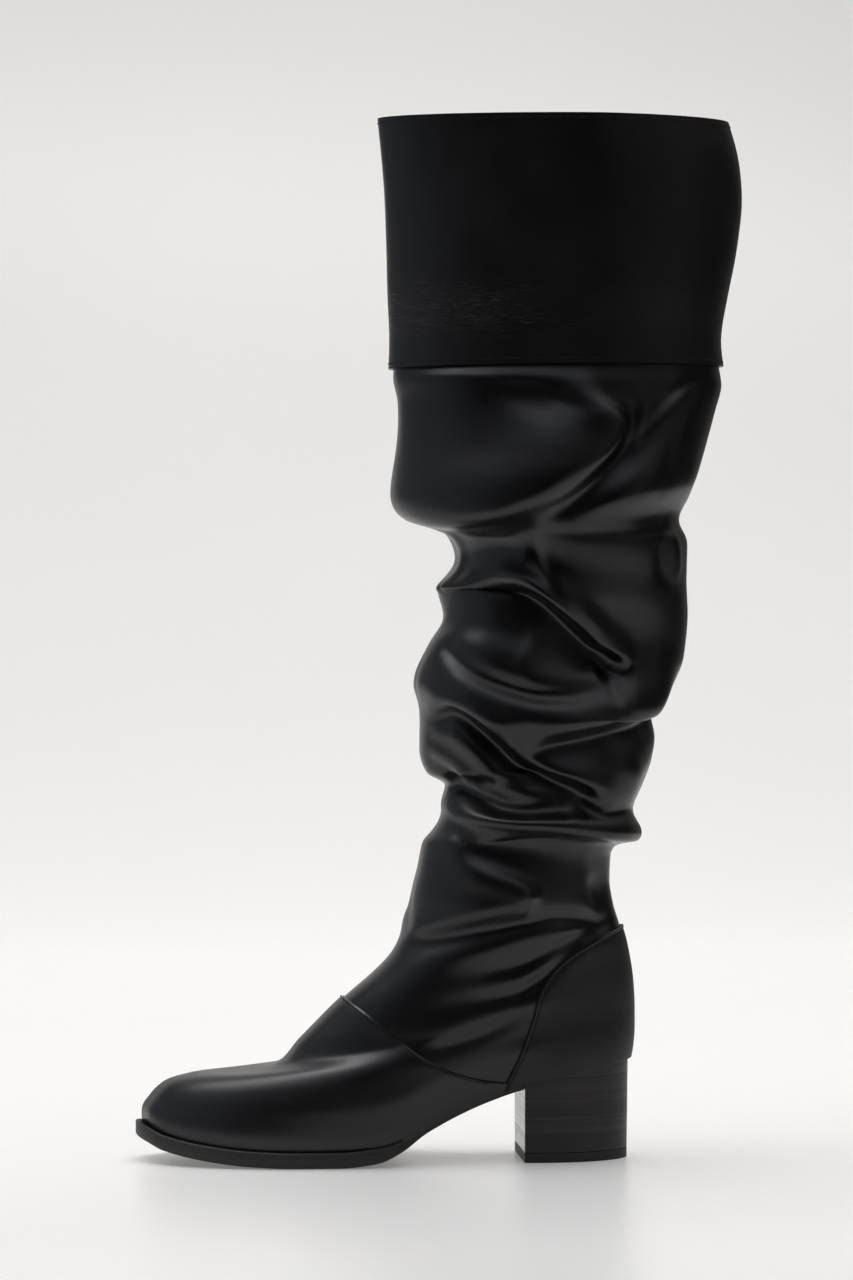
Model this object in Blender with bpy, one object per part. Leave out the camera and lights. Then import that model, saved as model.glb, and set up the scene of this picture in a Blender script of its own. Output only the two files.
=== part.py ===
"""Tall slouch boot for a left foot, standing empty on its sole.

The tables are in millimetres and the meshes in metres. +Z is up, the toe points along -X and the outer side
of the leg faces -Y. The origin lies on the floor, under the middle of the boot's box.
"""

import math
from collections import namedtuple

import bmesh
import bpy
import numpy as np

MM = 0.001

# Driving sizes
TOE_X = -155.0
FOOT_LENGTH = 258.5
HEEL_X = TOE_X + FOOT_LENGTH
BALL_WIDTH = 82.0
HALF_BALL = BALL_WIDTH / 2
TOE_HEIGHT = 50.3
INSTEP_HEIGHT = 86.0
HEEL_HEIGHT = 53.0
CUFF_TOP = 550.0
CUFF_DEPTH = 132.0

# Walls, laps and clearances
UPPER_WALL = 1.6
PANEL_WALL = 1.1
CUFF_WALL = 2.0
GAP = 0.3
PANEL_SEAM = 0.6

# Sole and heel
OUTSOLE_FOREFOOT = 5.6
OUTSOLE_WAIST = 2.6
WELT_HEIGHT = 2.2
WELT_LEDGE = 3.2
WAIST_TUCK = 1.5
WELT_END_X = -22.0
WELT_END_LEDGE = 1.0
SOLE_EDGE_ROUND = 1.4
BREAST_X = 43.3
HEEL_INSET = 0.6
HEEL_TAPER = 0.6
TOP_PIECE_HEIGHT = 5.0
INSOLE_HEIGHT = 2.0
INSOLE_INSET = 3.0

# Resolution of the solids
AROUND = 46
RING_STEP = 15.0
FOLD_SAMPLES = 24
FOLDS_FADE_Z = 402.0
WELT_COLUMNS = 41
SOLE_COLUMNS = 25
HEEL_COLUMNS = 9
CUTTER_REACH = 90.0

# The line along which the upper meets the sole, seen from the side
SolePoint = namedtuple("SolePoint", "x z")
SOLE_LINE = [
    SolePoint(TOE_X - 8, 19.5),
    SolePoint(TOE_X, 17),
    SolePoint(-146, 13.2),
    SolePoint(-124, 9.0),
    SolePoint(-102, 6.7),
    SolePoint(-80, GAP + OUTSOLE_FOREFOOT),
    SolePoint(-55, GAP + OUTSOLE_FOREFOOT),
    SolePoint(-35, 7.7),
    SolePoint(-22, 11.4),
    SolePoint(-8, 19.3),
    SolePoint(8, 27.5),
    SolePoint(25, 34.8),
    SolePoint(43, 41.0),
    SolePoint(70, 46.6),
    SolePoint(HEEL_X, HEEL_HEIGHT),
]

# Edges of the two sewn-on panels, seen from the side
EdgePoint = namedtuple("EdgePoint", "x z")
VAMP_EDGE = [
    EdgePoint(-80, 112),
    EdgePoint(-52.5, 88),
    EdgePoint(-43.5, 81.5),
    EdgePoint(-33, 73.5),
    EdgePoint(-23, 65.5),
    EdgePoint(-7, 54.5),
    EdgePoint(8.5, 47.5),
    EdgePoint(24, 43.5),
]
COUNTER_EDGE = [
    EdgePoint(27.5, 30),
    EdgePoint(33, 42.5),
    EdgePoint(41, 60),
    EdgePoint(46.5, 76),
    EdgePoint(50, 88.5),
    EdgePoint(57, 99.5),
    EdgePoint(67.5, 109),
    EdgePoint(81, 116.5),
    EdgePoint(95, 122),
    EdgePoint(110, 124.5),
]

# A section is a ring round the boot through a front and a back point of its side view. lateral and medial are its
# half widths, widest is where along it they lie, from the back, and the powers say how full its two ends are.
# dip is how far it follows the sole line, waist how much the arch narrows it, turn how far the toe bends inwards.
Section = namedtuple(
    "Section",
    "name front_x front_z back_x back_z lateral medial widest back_power front_power"
    " dip waist_lateral waist_medial turn",
    defaults=(0.5, 2.0, 2.0, 0.0, 0.0, 0.0, 0.0),
)

FOOT = [
    Section("feather", TOE_X, 17, HEEL_X - 1.8, HEEL_HEIGHT,
            HALF_BALL, HALF_BALL, 0.65, 4.0, 2.2, 1.0, 11.5, 18.0, 5.0),
    Section("rand", TOE_X - 0.4, 25.5, HEEL_X - 0.6, HEEL_HEIGHT + 7,
            HALF_BALL + 2, HALF_BALL + 1.5, 0.64, 3.8, 2.2, 0.90, 9.5, 15.0, 5.0),
    Section("toe wall", TOE_X + 3.5, 34.5, HEEL_X, HEEL_HEIGHT + 15,
            HALF_BALL + 2, HALF_BALL + 1, 0.62, 3.5, 2.1, 0.78, 7.0, 11.0, 5.0),
    Section("toe box", TOE_X + 12, 44.5, HEEL_X, HEEL_HEIGHT + 23,
            HALF_BALL, HALF_BALL - 1, 0.60, 3.2, 2.0, 0.62, 4.5, 7.0, 4.5),
    Section("toe top", TOE_X + 28, TOE_HEIGHT - 0.8, HEEL_X, HEEL_HEIGHT + 30,
            HALF_BALL - 2, HALF_BALL - 2.5, 0.56, 3.0, 2.0, 0.46, 2.5, 4.0, 4.0),
    Section("vamp low", TOE_X + 50, TOE_HEIGHT, HEEL_X - 0.4, HEEL_HEIGHT + 37,
            HALF_BALL - 3.5, HALF_BALL - 4, 0.53, 2.8, 2.0, 0.32, 1.0, 2.0, 3.0),
    Section("vamp crease", TOE_X + 69, 53.0, HEEL_X - 1, HEEL_HEIGHT + 44,
            HALF_BALL - 4.5, HALF_BALL - 5, 0.50, 2.6, 2.0, 0.20, 0.0, 0.0, 2.0),
    Section("vamp rise", TOE_X + 83, 65.5, HEEL_X - 2.4, HEEL_HEIGHT + 52,
            HALF_BALL - 5, HALF_BALL - 5, 0.50, 2.5, 2.0, 0.10, 0.0, 0.0, 1.0),
    Section("instep", TOE_X + 105, INSTEP_HEIGHT, HEEL_X - 4.4, HEEL_HEIGHT + 62,
            HALF_BALL - 4.5, HALF_BALL - 4.5, 0.50, 2.4, 2.1, 0.03),
    Section("throat", TOE_X + 119.5, 97.5, HEEL_X - 7, HEEL_HEIGHT + 71,
            HALF_BALL - 3, HALF_BALL - 3, 0.50, 2.3, 2.1),
]

SHAFT = [
    Section("ankle low", -24, 110, 93.5, 134, 40, 40),
    Section("ankle", -16, 128, 91.5, 147, 42, 42),
    Section("ankle top", -11, 152, 92, 160, 43, 43),
    Section("hem under", -8.5, 167, 94, 164.5, 44, 44),
    Section("hem", -3.5, 173, 102, 168, 46, 46),
    Section("hem tip", 0.5, 179, 107.5, 174, 46, 47),
    Section("front pinch low", 3.2, 188, 103.5, 184, 44, 46),
    Section("front pinch", 4.2, 197.5, 109, 198, 45, 46),
    Section("roll low", -6, 203.5, 113.5, 210, 46, 47),
    Section("roll", -10, 216, 115.5, 222, 46, 47),
    Section("back pinch", -9.5, 238, 113.5, 234.5, 45, 45),
    Section("bulge low", -7.5, 259, 120.5, 243, 47, 47),
    Section("bulge seam", -4.5, 272, 127, 253, 48, 48),
    Section("bulge", 2, 286, 132, 265, 49, 49),
    Section("bulge high", -2, 303, 134.5, 288, 50, 50),
    Section("front notch", 5, 317.5, 133.5, 308, 48, 49),
    Section("notch top", -5, 332, 133.5, 325, 49, 50),
    Section("back notch", -15, 344, 129, 338.5, 49, 49),
    Section("knee low", -19.8, 357, 133.5, 350, 49, 49),
    Section("knee", -20.5, 378, 140.5, 370, 47, 48),
    Section("knee high", -21.5, 400, 148, 396, 44, 45),
    Section("knee edge", -24, 413, 151.5, 411, 43, 43),
]

CUFF = [
    Section("cuff edge", -26.5, 417.5, 152.5, 419.5, 42, 42, 0.45, 2.0, 1.8),
    Section("cuff low", -26, 433, 151, 433, 42, 42, 0.45, 2.0, 1.7),
    Section("cuff waist", -27, 456, 154.8, 457, 42, 42, 0.43, 2.0, 1.6),
    Section("cuff middle", -27.6, 481, 159.5, 481, 41, 41, 0.42, 1.9, 1.6),
    Section("cuff bulge", -28.6, 509, 162.5, 509, 40, 40, 0.41, 1.8, 1.6),
    Section("cuff high", -30.2, 529, 160.8, 529, 39, 39, 0.40, 1.7, 1.5),
    Section("collar", -32.3, CUFF_TOP, 155.3, CUFF_TOP - 0.5, 38, 38, 0.40, 1.6, 1.5),
]

# A fold is a soft ridge, or a trough where its rise is negative, along a path of the side view. side is -1 on the
# outer side and 1 on the inner. rise is given at the start, the middle and the end of the path, width is the half
# width above and below it, and droop is how far the fold's crest hangs down.
Fold = namedtuple("Fold", "name side path rise width droop", defaults=(0.0,))

FOLDS = [
    Fold("knee roll", -1, ((-12, 352), (18, 348), (46, 362), (74, 384), (86, 402)), (2, 6, 3), (26, 11), 2),
    Fold("knee valley", -1, ((0, 322), (26, 324), (49, 338), (80, 362), (96, 388)), (-5, -8, -3), (11, 11)),
    Fold("corner ridge", -1, ((140, 411), (101, 376), (70, 350)), (2, 4, 3), (9, 9)),
    Fold("panel valley", -1, ((60, 330), (90, 328), (128, 337)), (-3, -6, -3), (10, 9)),
    Fold("panel bulge", -1, ((66, 308), (90, 294), (114, 284)), (3, 6, 3), (24, 22)),
    Fold("tip ridge", -1, ((-6, 306), (16, 310), (50, 300), (75, 283), (99, 262)), (2, 5, 2), (9, 9)),
    Fold("calf pocket", -1, ((8, 286), (45, 274), (82, 262)), (-5, -10, -3), (14, 13)),
    Fold("calf sausage", -1, ((-3, 260), (18, 243), (49, 236), (80, 241), (111, 248)), (3, 7, 4), (11, 10), 3),
    Fold("sausage undercut", -1, ((41, 217), (60, 223), (80, 226), (106, 233)), (-5, -8, -4), (9, 9)),
    Fold("low panel bulge", -1, ((66, 212), (85, 202), (102, 192)), (2, 4, 3), (14, 14)),
    Fold("shin pocket", -1, ((2, 216), (28, 196), (60, 188), (84, 192)), (-4, -8, -4), (10, 10)),
    Fold("hem sausage", -1, ((5, 190), (18, 181), (54, 177), (91, 175), (101, 177)), (1, 5, 3), (10, 9), 3),
    Fold("hem undercut", -1, ((-5, 168), (28, 166), (60, 163), (87, 160)), (-2, -5, -4), (8, 10)),
    Fold("ankle ridge", -1, ((-20, 123), (1, 127), (19, 132), (40, 136)), (2, 4, 1), (9, 9)),
    Fold("ankle valley", -1, ((-6, 111), (39, 121), (74, 128)), (-1, -3, -2), (9, 9)),
    Fold("instep ridge", -1, ((66, 112), (45, 98), (20, 89), (-8, 86)), (1, 3, 1), (9, 9)),
    Fold("inner knee roll", 1, ((-10, 362), (30, 352), (70, 346), (110, 352)), (2, 5, 2), (20, 11), 2),
    Fold("inner knee valley", 1, ((-2, 330), (40, 326), (84, 322), (120, 332)), (-3, -7, -3), (11, 11)),
    Fold("inner calf bulge", 1, ((10, 300), (56, 296), (104, 304)), (2, 5, 3), (16, 14), 2),
    Fold("inner calf pocket", 1, ((14, 268), (60, 264), (108, 272)), (-3, -8, -3), (12, 12)),
    Fold("inner sausage", 1, ((-2, 236), (44, 242), (100, 240)), (2, 6, 4), (11, 11), 3),
    Fold("inner undercut", 1, ((2, 212), (40, 217), (96, 215)), (-3, -7, -3), (10, 10)),
    Fold("inner shin roll", 1, ((10, 190), (50, 193), (98, 190)), (2, 4, 2), (10, 10), 2),
    Fold("inner hem undercut", 1, ((-5, 166), (40, 168), (86, 162)), (-2, -5, -3), (10, 10)),
    Fold("inner ankle ridge", 1, ((-16, 126), (10, 134), (44, 140)), (2, 3, 1), (10, 10)),
    Fold("inner ankle valley", 1, ((-8, 112), (30, 118), (66, 128)), (-1, -3, -1), (9, 9)),
]


def between_rows(knots, values, at):
    """A cubic through the rows that doesn't overshoot between them."""
    step = np.diff(knots)
    grade = np.diff(values) / step
    product = grade[:-1] * grade[1:]
    total = np.where(product > 0, grade[:-1] + grade[1:], 1.0)
    inner = np.where(product > 0, 2 * product / total, 0.0)
    slope = np.concatenate(([grade[0]], inner, [grade[-1]]))
    row = np.clip(np.searchsorted(knots, at, side="right") - 1, 0, len(knots) - 2)
    length = step[row]
    share = np.clip((at - knots[row]) / length, 0.0, 1.0)
    back = 1 - share
    return (
        values[row] * back**2 * (1 + 2 * share)
        + values[row + 1] * share**2 * (1 + 2 * back)
        + length * (slope[row] * share * back**2 - slope[row + 1] * back * share**2)
    )


def ease(x, start, end):
    """0 up to start, 1 from end on, and smooth between them."""
    share = np.clip((x - start) / (end - start), 0, 1)
    return share * share * (3 - 2 * share)


def sole_height(x):
    """Height of the line where the upper meets the sole."""
    table = np.array(SOLE_LINE, float)
    return between_rows(table[:, 0], table[:, 1], np.asarray(x, float))


def sole_dip(x):
    """How far the sole line lies from the straight line between the feather's two ends."""
    feather = FOOT[0]
    share = (x - feather.front_x) / (feather.back_x - feather.front_x)
    return sole_height(x) - feather.front_z - share * (feather.back_z - feather.front_z)


def inset(section, by):
    """The same section, smaller all round by that much."""
    return section._replace(
        front_x=section.front_x + by,
        back_x=section.back_x - by,
        lateral=section.lateral - by,
        medial=section.medial - by,
    )


def lapped_top():
    """The upper's last two sections, which go up inside the cuff."""
    tucked = [inset(section, CUFF_WALL + GAP + 0.4) for section in CUFF[:2]]
    edge, above = tucked
    return [edge._replace(name="under the cuff"), above._replace(name="upper's top edge")]


UPPER = FOOT + SHAFT + lapped_top()


class Form:
    """A surface through a list of sections. A level is a section's mean height, and an angle runs from the
    back (0) over the outer side to the front (pi) and over the inner side to the back again."""

    def __init__(self, sections, folds=()):
        self.sections = sections
        self.folds = folds
        self.levels = np.array([(s.front_z + s.back_z) / 2 for s in sections])

    def column(self, field, level):
        values = np.array([getattr(s, field) for s in self.sections], float)
        return between_rows(self.levels, values, level)

    def bare(self, level, angle):
        """Points of the surface with no folds, in millimetres."""
        level, angle = np.broadcast_arrays(np.asarray(level, float), np.asarray(angle, float))
        col = {f: self.column(f, level) for f in Section._fields[1:]}
        along = (1 - np.cos(angle)) / 2
        x = col["back_x"] + (col["front_x"] - col["back_x"]) * along
        z = col["back_z"] + (col["front_z"] - col["back_z"]) * along + col["dip"] * sole_dip(x)
        outer = np.sin(angle) >= 0
        width = np.where(outer, col["lateral"], col["medial"])
        waist = np.where(outer, col["waist_lateral"], col["waist_medial"])
        behind = np.clip((col["widest"] - along) / col["widest"], 0, 1) ** col["back_power"]
        ahead = np.clip((along - col["widest"]) / (1 - col["widest"]), 0, 1) ** col["front_power"]
        fullness = np.sqrt(np.clip(1 - behind - ahead, 0, 1))
        arch = np.exp(-(((along - 0.33) / 0.16) ** 2)) * np.minimum(1, fullness * 1.5)
        middle = col["turn"] * np.clip((along - 0.5) / 0.5, 0, 1) ** 2
        y = middle + np.where(outer, -1, 1) * (width * fullness - waist * arch)
        return np.stack([x, y, z], axis=-1)

    def place(self, x, z, side):
        """The surface point on that side which the side view shows at x and z."""
        level = np.array(z, float)
        for _ in range(12):
            front, back = self.column("front_x", level), self.column("back_x", level)
            along = np.clip((back - x) / (back - front), 0.0, 1.0)
            angle = np.arccos(1 - 2 * along)
            level = np.clip(level + z - self.bare(level, angle)[..., 2], self.levels[0], self.levels[-1])
        return self.bare(level, angle if side < 0 else 2 * math.pi - angle)

    def normals(self, level, angle):
        """Outward directions of the surface with no folds."""
        small = 1e-3
        up = self.bare(level + small, angle) - self.bare(level - small, angle)
        round_it = self.bare(level, angle + small) - self.bare(level, angle - small)
        out = np.cross(up, round_it)
        return out / np.maximum(np.linalg.norm(out, axis=-1, keepdims=True), 1e-9)

    def points(self, level, angle, lift=0.0):
        """Points of the folded surface, raised along its outward direction by lift."""
        level, angle = np.broadcast_arrays(np.asarray(level, float), np.asarray(angle, float))
        bare = self.bare(level, angle)
        out = self.normals(level, angle)
        raised = bare + out * lift
        loose = 1 - ease(bare[..., 2], FOLDS_FADE_Z, CUFF_TOP - CUFF_DEPTH - 2)
        for fold in self.folds:
            rise, hang = fold_push(self, fold, bare)
            raised = raised + out * (loose * rise)[..., None]
            raised[..., 2] -= loose * hang
        return raised


def fold_push(form, fold, points):
    """How far a fold moves each point out and down."""
    path = np.array(fold.path, float)
    lengths = np.concatenate(([0.0], np.cumsum(np.linalg.norm(np.diff(path, axis=0), axis=1))))
    at = np.linspace(0, lengths[-1], FOLD_SAMPLES + 1)
    x, z = (between_rows(lengths, path[:, axis], at) for axis in (0, 1))
    line = form.place(x, z, fold.side)
    heads, runs = line[:-1], np.diff(line, axis=0)
    squares = np.maximum((runs**2).sum(-1), 1e-9)
    flat = points.reshape(-1, 3)
    nearest = np.full(len(flat), np.inf)
    where = np.zeros(len(flat))
    above = np.zeros(len(flat))
    for index, (head, run) in enumerate(zip(heads, runs)):
        offset = flat - head
        part = np.clip(offset @ run / squares[index], 0, 1)
        offset = offset - part[:, None] * run
        distance = np.linalg.norm(offset, axis=1)
        closer = distance < nearest
        nearest = np.where(closer, distance, nearest)
        where = np.where(closer, (index + part) / FOLD_SAMPLES, where)
        upward = np.array([-run[2], 0, run[0]]) * (1 if run[0] >= 0 else -1)
        above = np.where(closer, offset @ upward, above)
    first, half, last = fold.rise
    rise = first * (1 - where) * (1 - 2 * where) + 4 * half * where * (1 - where) + last * where * (2 * where - 1)
    width = np.where(above > 0, fold.width[0], fold.width[1])
    shape = np.exp(-((nearest / width) ** 2))
    return (rise * shape).reshape(points.shape[:-1]), (fold.droop * shape).reshape(points.shape[:-1])


UPPER_FORM = Form(UPPER, FOLDS)
CUFF_FORM = Form(CUFF)


def ring_levels(sections, step):
    """Levels from the first section to the last, about a step apart along the front or the back."""
    levels = []
    for low, high in zip(sections, sections[1:]):
        front = math.dist(low[1:3], high[1:3])
        back = math.dist(low[3:5], high[3:5])
        count = max(1, round(max(front, back) / step))
        start, end = (low.front_z + low.back_z) / 2, (high.front_z + high.back_z) / 2
        levels += list(np.linspace(start, end, count, endpoint=False))
    last = sections[-1]
    return np.array(levels + [(last.front_z + last.back_z) / 2])


BLACK = (0.012, 0.012, 0.014)
SOLE_BLACK = (0.02, 0.02, 0.02)
STACK_BROWN = (0.035, 0.028, 0.024)
BOARD_GREY = (0.09, 0.085, 0.08)


def boot_material(name, colour, roughness):
    material = bpy.data.materials.new(name)
    material.use_nodes = True
    shader = material.node_tree.nodes["Principled BSDF"]
    shader.inputs["Base Color"].default_value = (*colour, 1.0)
    shader.inputs["Roughness"].default_value = roughness
    shader.inputs["Metallic"].default_value = 0.0
    return material


def add_object(name, points, faces, material, sharp=35):
    """One named object from points in millimetres, its faces turned outwards."""
    mesh = bpy.data.meshes.new(name)
    mesh.from_pydata([tuple(p) for p in np.asarray(points) * MM], [], faces)
    work = bmesh.new()
    work.from_mesh(mesh)
    bmesh.ops.remove_doubles(work, verts=work.verts, dist=1e-6)
    bmesh.ops.recalc_face_normals(work, faces=work.faces)
    work.to_mesh(mesh)
    work.free()
    mesh.materials.append(material)
    mesh.shade_smooth()
    mesh.set_sharp_from_angle(angle=math.radians(sharp))
    made = bpy.data.objects.new(name, mesh)
    bpy.context.scene.collection.objects.link(made)
    return made


def sheet_faces(rows, columns, around, first=0):
    """Triangles of a grid of points, row by row, all split along the same diagonal. The columns close into a
    ring where around is set."""
    faces = []
    for r in range(rows - 1):
        for c in range(columns if around else columns - 1):
            low, high = first + r * columns, first + (r + 1) * columns
            d = (c + 1) % columns
            faces.append([low + c, low + d, high + d])
            faces.append([low + c, high + d, high + c])
    return faces


def walled(name, outer, inner, material):
    """A closed wall between two grids of rings of the same size."""
    rows, columns = outer.shape[:2]
    size = rows * columns
    faces = sheet_faces(rows, columns, True)
    faces += [face[::-1] for face in sheet_faces(rows, columns, True, size)]
    for row in (0, rows - 1):
        line = [row * columns + c for c in range(columns)]
        faces += [[a, b, b + size, a + size] for a, b in zip(line, line[1:] + line[:1])]
    return add_object(name, np.concatenate([outer.reshape(-1, 3), inner.reshape(-1, 3)]), faces, material)


def ring_grid(form, levels):
    """A grid of rings of the folded form and the outward direction at each of its points."""
    level, angle = np.meshgrid(levels, full_turn(AROUND), indexing="ij")
    rings = form.points(level, angle)
    up = np.gradient(rings, axis=0)
    wrapped = np.concatenate([rings[:, -1:], rings, rings[:, :1]], axis=1)
    out = np.cross(up, wrapped[:, 2:] - wrapped[:, :-2])
    out[0, :, 2] = out[-1, :, 2] = 0
    return rings, out / np.linalg.norm(out, axis=-1, keepdims=True)


def full_turn(count):
    return np.arange(count) * 2 * math.pi / count


def make_upper(material):
    rings, out = ring_grid(UPPER_FORM, ring_levels(UPPER, RING_STEP))
    return walled("upper", rings, rings - out * UPPER_WALL, material)


def make_cuff(material):
    rings, out = ring_grid(CUFF_FORM, ring_levels(CUFF, 2 * RING_STEP))
    return walled("cuff", rings, rings - out * CUFF_WALL, material)


def feather_angle(x):
    """The angle on the outer side at which the feather ring passes x."""
    feather = FOOT[0]
    along = (feather.back_x - x) / (feather.back_x - feather.front_x)
    return math.acos(1 - 2 * along)


def side_cutter(name, outline):
    """A slab through the whole boot with that outline in the side view."""
    count = len(outline)
    points = [(x, y, z) for y in (-CUTTER_REACH, CUTTER_REACH) for x, z in outline]
    faces = [list(range(count)), list(range(2 * count - 1, count - 1, -1))]
    faces += [[i, (i + 1) % count, count + (i + 1) % count, count + i] for i in range(count)]
    cutter = add_object(name, points, faces, boot_material(name, BLACK, 1.0))
    cutter.hide_render = True
    cutter.display_type = "WIRE"
    return cutter


def panel(name, outline, material):
    """A sheet sewn over the upper: the part of a sock round its foot that lies inside the outline."""
    levels = ring_levels(UPPER, RING_STEP)
    rings, out = ring_grid(UPPER_FORM, levels)
    foot = levels <= UPPER_FORM.levels[len(FOOT) + 1]
    rings, out = rings[foot], out[foot]
    inner, outer = rings + out * GAP, rings + out * (GAP + PANEL_WALL)
    for grid in (inner, outer):
        grid[0, :, 2] = sole_height(grid[0, :, 0])
    sock = walled(name, outer, inner, material)
    cut = sock.modifiers.new("panel outline", "BOOLEAN")
    cut.operation = "INTERSECT"
    cut.solver = "EXACT"
    cut.object = side_cutter(name + "_outline", outline)
    return sock


def make_vamp(material):
    end = [EdgePoint(point.x - PANEL_SEAM, point.z) for point in COUNTER_EDGE[1::-1]]
    seam = [point for point in VAMP_EDGE if point.x < end[0].x]
    floor = [EdgePoint(end[-1].x, -CUTTER_REACH), EdgePoint(-2 * CUTTER_REACH, -CUTTER_REACH)]
    front = [EdgePoint(-2 * CUTTER_REACH, VAMP_EDGE[0].z)]
    return panel("vamp", seam + end + floor + front, material)


def make_counter(material):
    behind = [EdgePoint(2 * CUTTER_REACH, COUNTER_EDGE[-1].z), EdgePoint(2 * CUTTER_REACH, 0)]
    below = [EdgePoint(COUNTER_EDGE[0].x, 0)]
    return panel("counter", COUNTER_EDGE + behind + below, material)


def plan_outline(angle, offset):
    """The feather ring seen from above, moved outwards by offset."""
    ring = UPPER_FORM.bare(UPPER_FORM.levels[0], angle)[..., :2]
    small = 1e-3
    ahead = UPPER_FORM.bare(UPPER_FORM.levels[0], angle + small)[..., :2]
    behind = UPPER_FORM.bare(UPPER_FORM.levels[0], angle - small)[..., :2]
    run = ahead - behind
    out = np.stack([-run[..., 1], run[..., 0]], axis=-1)
    out /= np.linalg.norm(out, axis=-1, keepdims=True)
    return ring + out * np.asarray(offset)[..., None]


def tube(name, rungs, material):
    """A closed body through rungs of points. A rung whose points meet in pairs closes its end by itself."""
    count, corners = rungs.shape[:2]
    faces = sheet_faces(count, corners, True)
    for rung in (0, count - 1):
        loop = [rung * corners + c for c in range(corners)]
        if np.linalg.norm(rungs[rung, 0] - rungs[rung, -1]) > 1e-3:
            faces.append(loop)
    return add_object(name, rungs.reshape(-1, 3), faces, material)


def lifted(plan, z):
    return np.concatenate([plan, np.asarray(z)[..., None]], axis=-1)


def make_welt(material):
    end = feather_angle(WELT_END_X)
    angle = np.linspace(end, 2 * math.pi - end, WELT_COLUMNS)
    lowest = UPPER_FORM.levels[0]
    clear = GAP + PANEL_WALL + GAP
    low = UPPER_FORM.points(lowest, angle, clear)
    high = UPPER_FORM.points(lowest + WELT_HEIGHT, angle, clear)
    ledge = WELT_LEDGE - (WELT_LEDGE - WELT_END_LEDGE) * ease(low[:, 0], WELT_END_X - 30, WELT_END_X)
    inner_low, inner_high = low[:, :2], high[:, :2]
    outer = plan_outline(angle, clear + ledge)
    rungs = np.stack([
        lifted(inner_low, sole_height(inner_low[:, 0])),
        lifted(outer, sole_height(outer[:, 0])),
        lifted(outer, sole_height(outer[:, 0]) + WELT_HEIGHT),
        lifted(inner_high, sole_height(inner_high[:, 0]) + WELT_HEIGHT),
    ], axis=1)
    return tube("welt", rungs, material)


def sole_offset(x):
    """How far the outsole's edge stands out from the feather line."""
    forefoot = GAP + PANEL_WALL + GAP + WELT_LEDGE
    return forefoot - (forefoot + WAIST_TUCK) * ease(x, WELT_END_X - 24, WELT_END_X + 18)


def sole_thickness(x):
    return OUTSOLE_FOREFOOT - (OUTSOLE_FOREFOOT - OUTSOLE_WAIST) * ease(x, WELT_END_X - 14, WELT_END_X + 16)


def make_outsole(material):
    angle = np.linspace(feather_angle(BREAST_X), math.pi, SOLE_COLUMNS)
    sides = []
    for turned in (angle, 2 * math.pi - angle):
        x = UPPER_FORM.bare(UPPER_FORM.levels[0], turned)[:, 0]
        edge = plan_outline(turned, sole_offset(x))
        under = plan_outline(turned, sole_offset(x) - SOLE_EDGE_ROUND)
        for plan in (edge, under):
            plan[:, 0] = np.minimum(plan[:, 0], BREAST_X - GAP)
        under[-1] = edge[-1] + (SOLE_EDGE_ROUND, 0)
        top = sole_height(edge[:, 0]) - GAP
        bottom = top - sole_thickness(edge[:, 0])
        flat = sole_height(under[:, 0]) - GAP - sole_thickness(under[:, 0])
        sides.append([lifted(edge, top), lifted(edge, bottom + SOLE_EDGE_ROUND), lifted(under, flat)])
    outer, inner = sides
    return tube("outsole", np.stack(outer + inner[::-1], axis=1), material)


def heel_sides(shrink):
    """The heel's outline on both sides from its breast to its back, smaller by shrink."""
    angle = np.linspace(feather_angle(BREAST_X), 0, HEEL_COLUMNS)
    sides = []
    for turned in (angle, -angle):
        plan = plan_outline(turned, np.full(len(angle), -HEEL_INSET - shrink))
        plan[:, 0] = np.maximum(plan[:, 0], BREAST_X)
        plan[0, 0] = BREAST_X
        sides.append(plan)
    return sides


def make_heel_block(material):
    top_outer, top_inner = heel_sides(0.0)
    low_outer, low_inner = heel_sides(HEEL_TAPER)
    floor = np.full(HEEL_COLUMNS, TOP_PIECE_HEIGHT + GAP)
    rungs = np.stack([
        lifted(top_outer, sole_height(top_outer[:, 0]) - GAP),
        lifted(low_outer, floor),
        lifted(low_inner, floor),
        lifted(top_inner, sole_height(top_inner[:, 0]) - GAP),
    ], axis=1)
    return tube("heel_block", rungs, material)


def make_heel_top_piece(material):
    outer, inner = heel_sides(HEEL_TAPER)
    floor = np.zeros(HEEL_COLUMNS)
    rungs = np.stack([
        lifted(outer, floor + TOP_PIECE_HEIGHT),
        lifted(outer, floor),
        lifted(inner, floor),
        lifted(inner, floor + TOP_PIECE_HEIGHT),
    ], axis=1)
    return tube("heel_top_piece", rungs, material)


def make_insole(material):
    angle = np.linspace(0, math.pi, SOLE_COLUMNS)
    corners = []
    for turned in (angle, -angle):
        plan = plan_outline(turned, np.full(len(angle), -INSOLE_INSET))
        height = sole_height(plan[:, 0])
        corners.append([lifted(plan, height + INSOLE_HEIGHT), lifted(plan, height)])
    outer, inner = corners
    return tube("insole", np.stack(outer + inner[::-1], axis=1), material)


def clear_scene():
    for old in list(bpy.data.objects):
        bpy.data.objects.remove(old)


def main():
    clear_scene()
    make_upper(boot_material("upper_leather", BLACK, 0.35))
    make_vamp(boot_material("vamp_leather", BLACK, 0.40))
    make_counter(boot_material("counter_leather", BLACK, 0.40))
    make_cuff(boot_material("cuff_leather", BLACK, 0.45))
    make_welt(boot_material("welt_rubber", SOLE_BLACK, 0.60))
    make_outsole(boot_material("outsole_rubber", SOLE_BLACK, 0.60))
    make_heel_block(boot_material("heel_stack", STACK_BROWN, 0.50))
    make_heel_top_piece(boot_material("top_piece_rubber", SOLE_BLACK, 0.70))
    make_insole(boot_material("insole_board", BOARD_GREY, 0.80))


if __name__ == "__main__":
    main()
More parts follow.
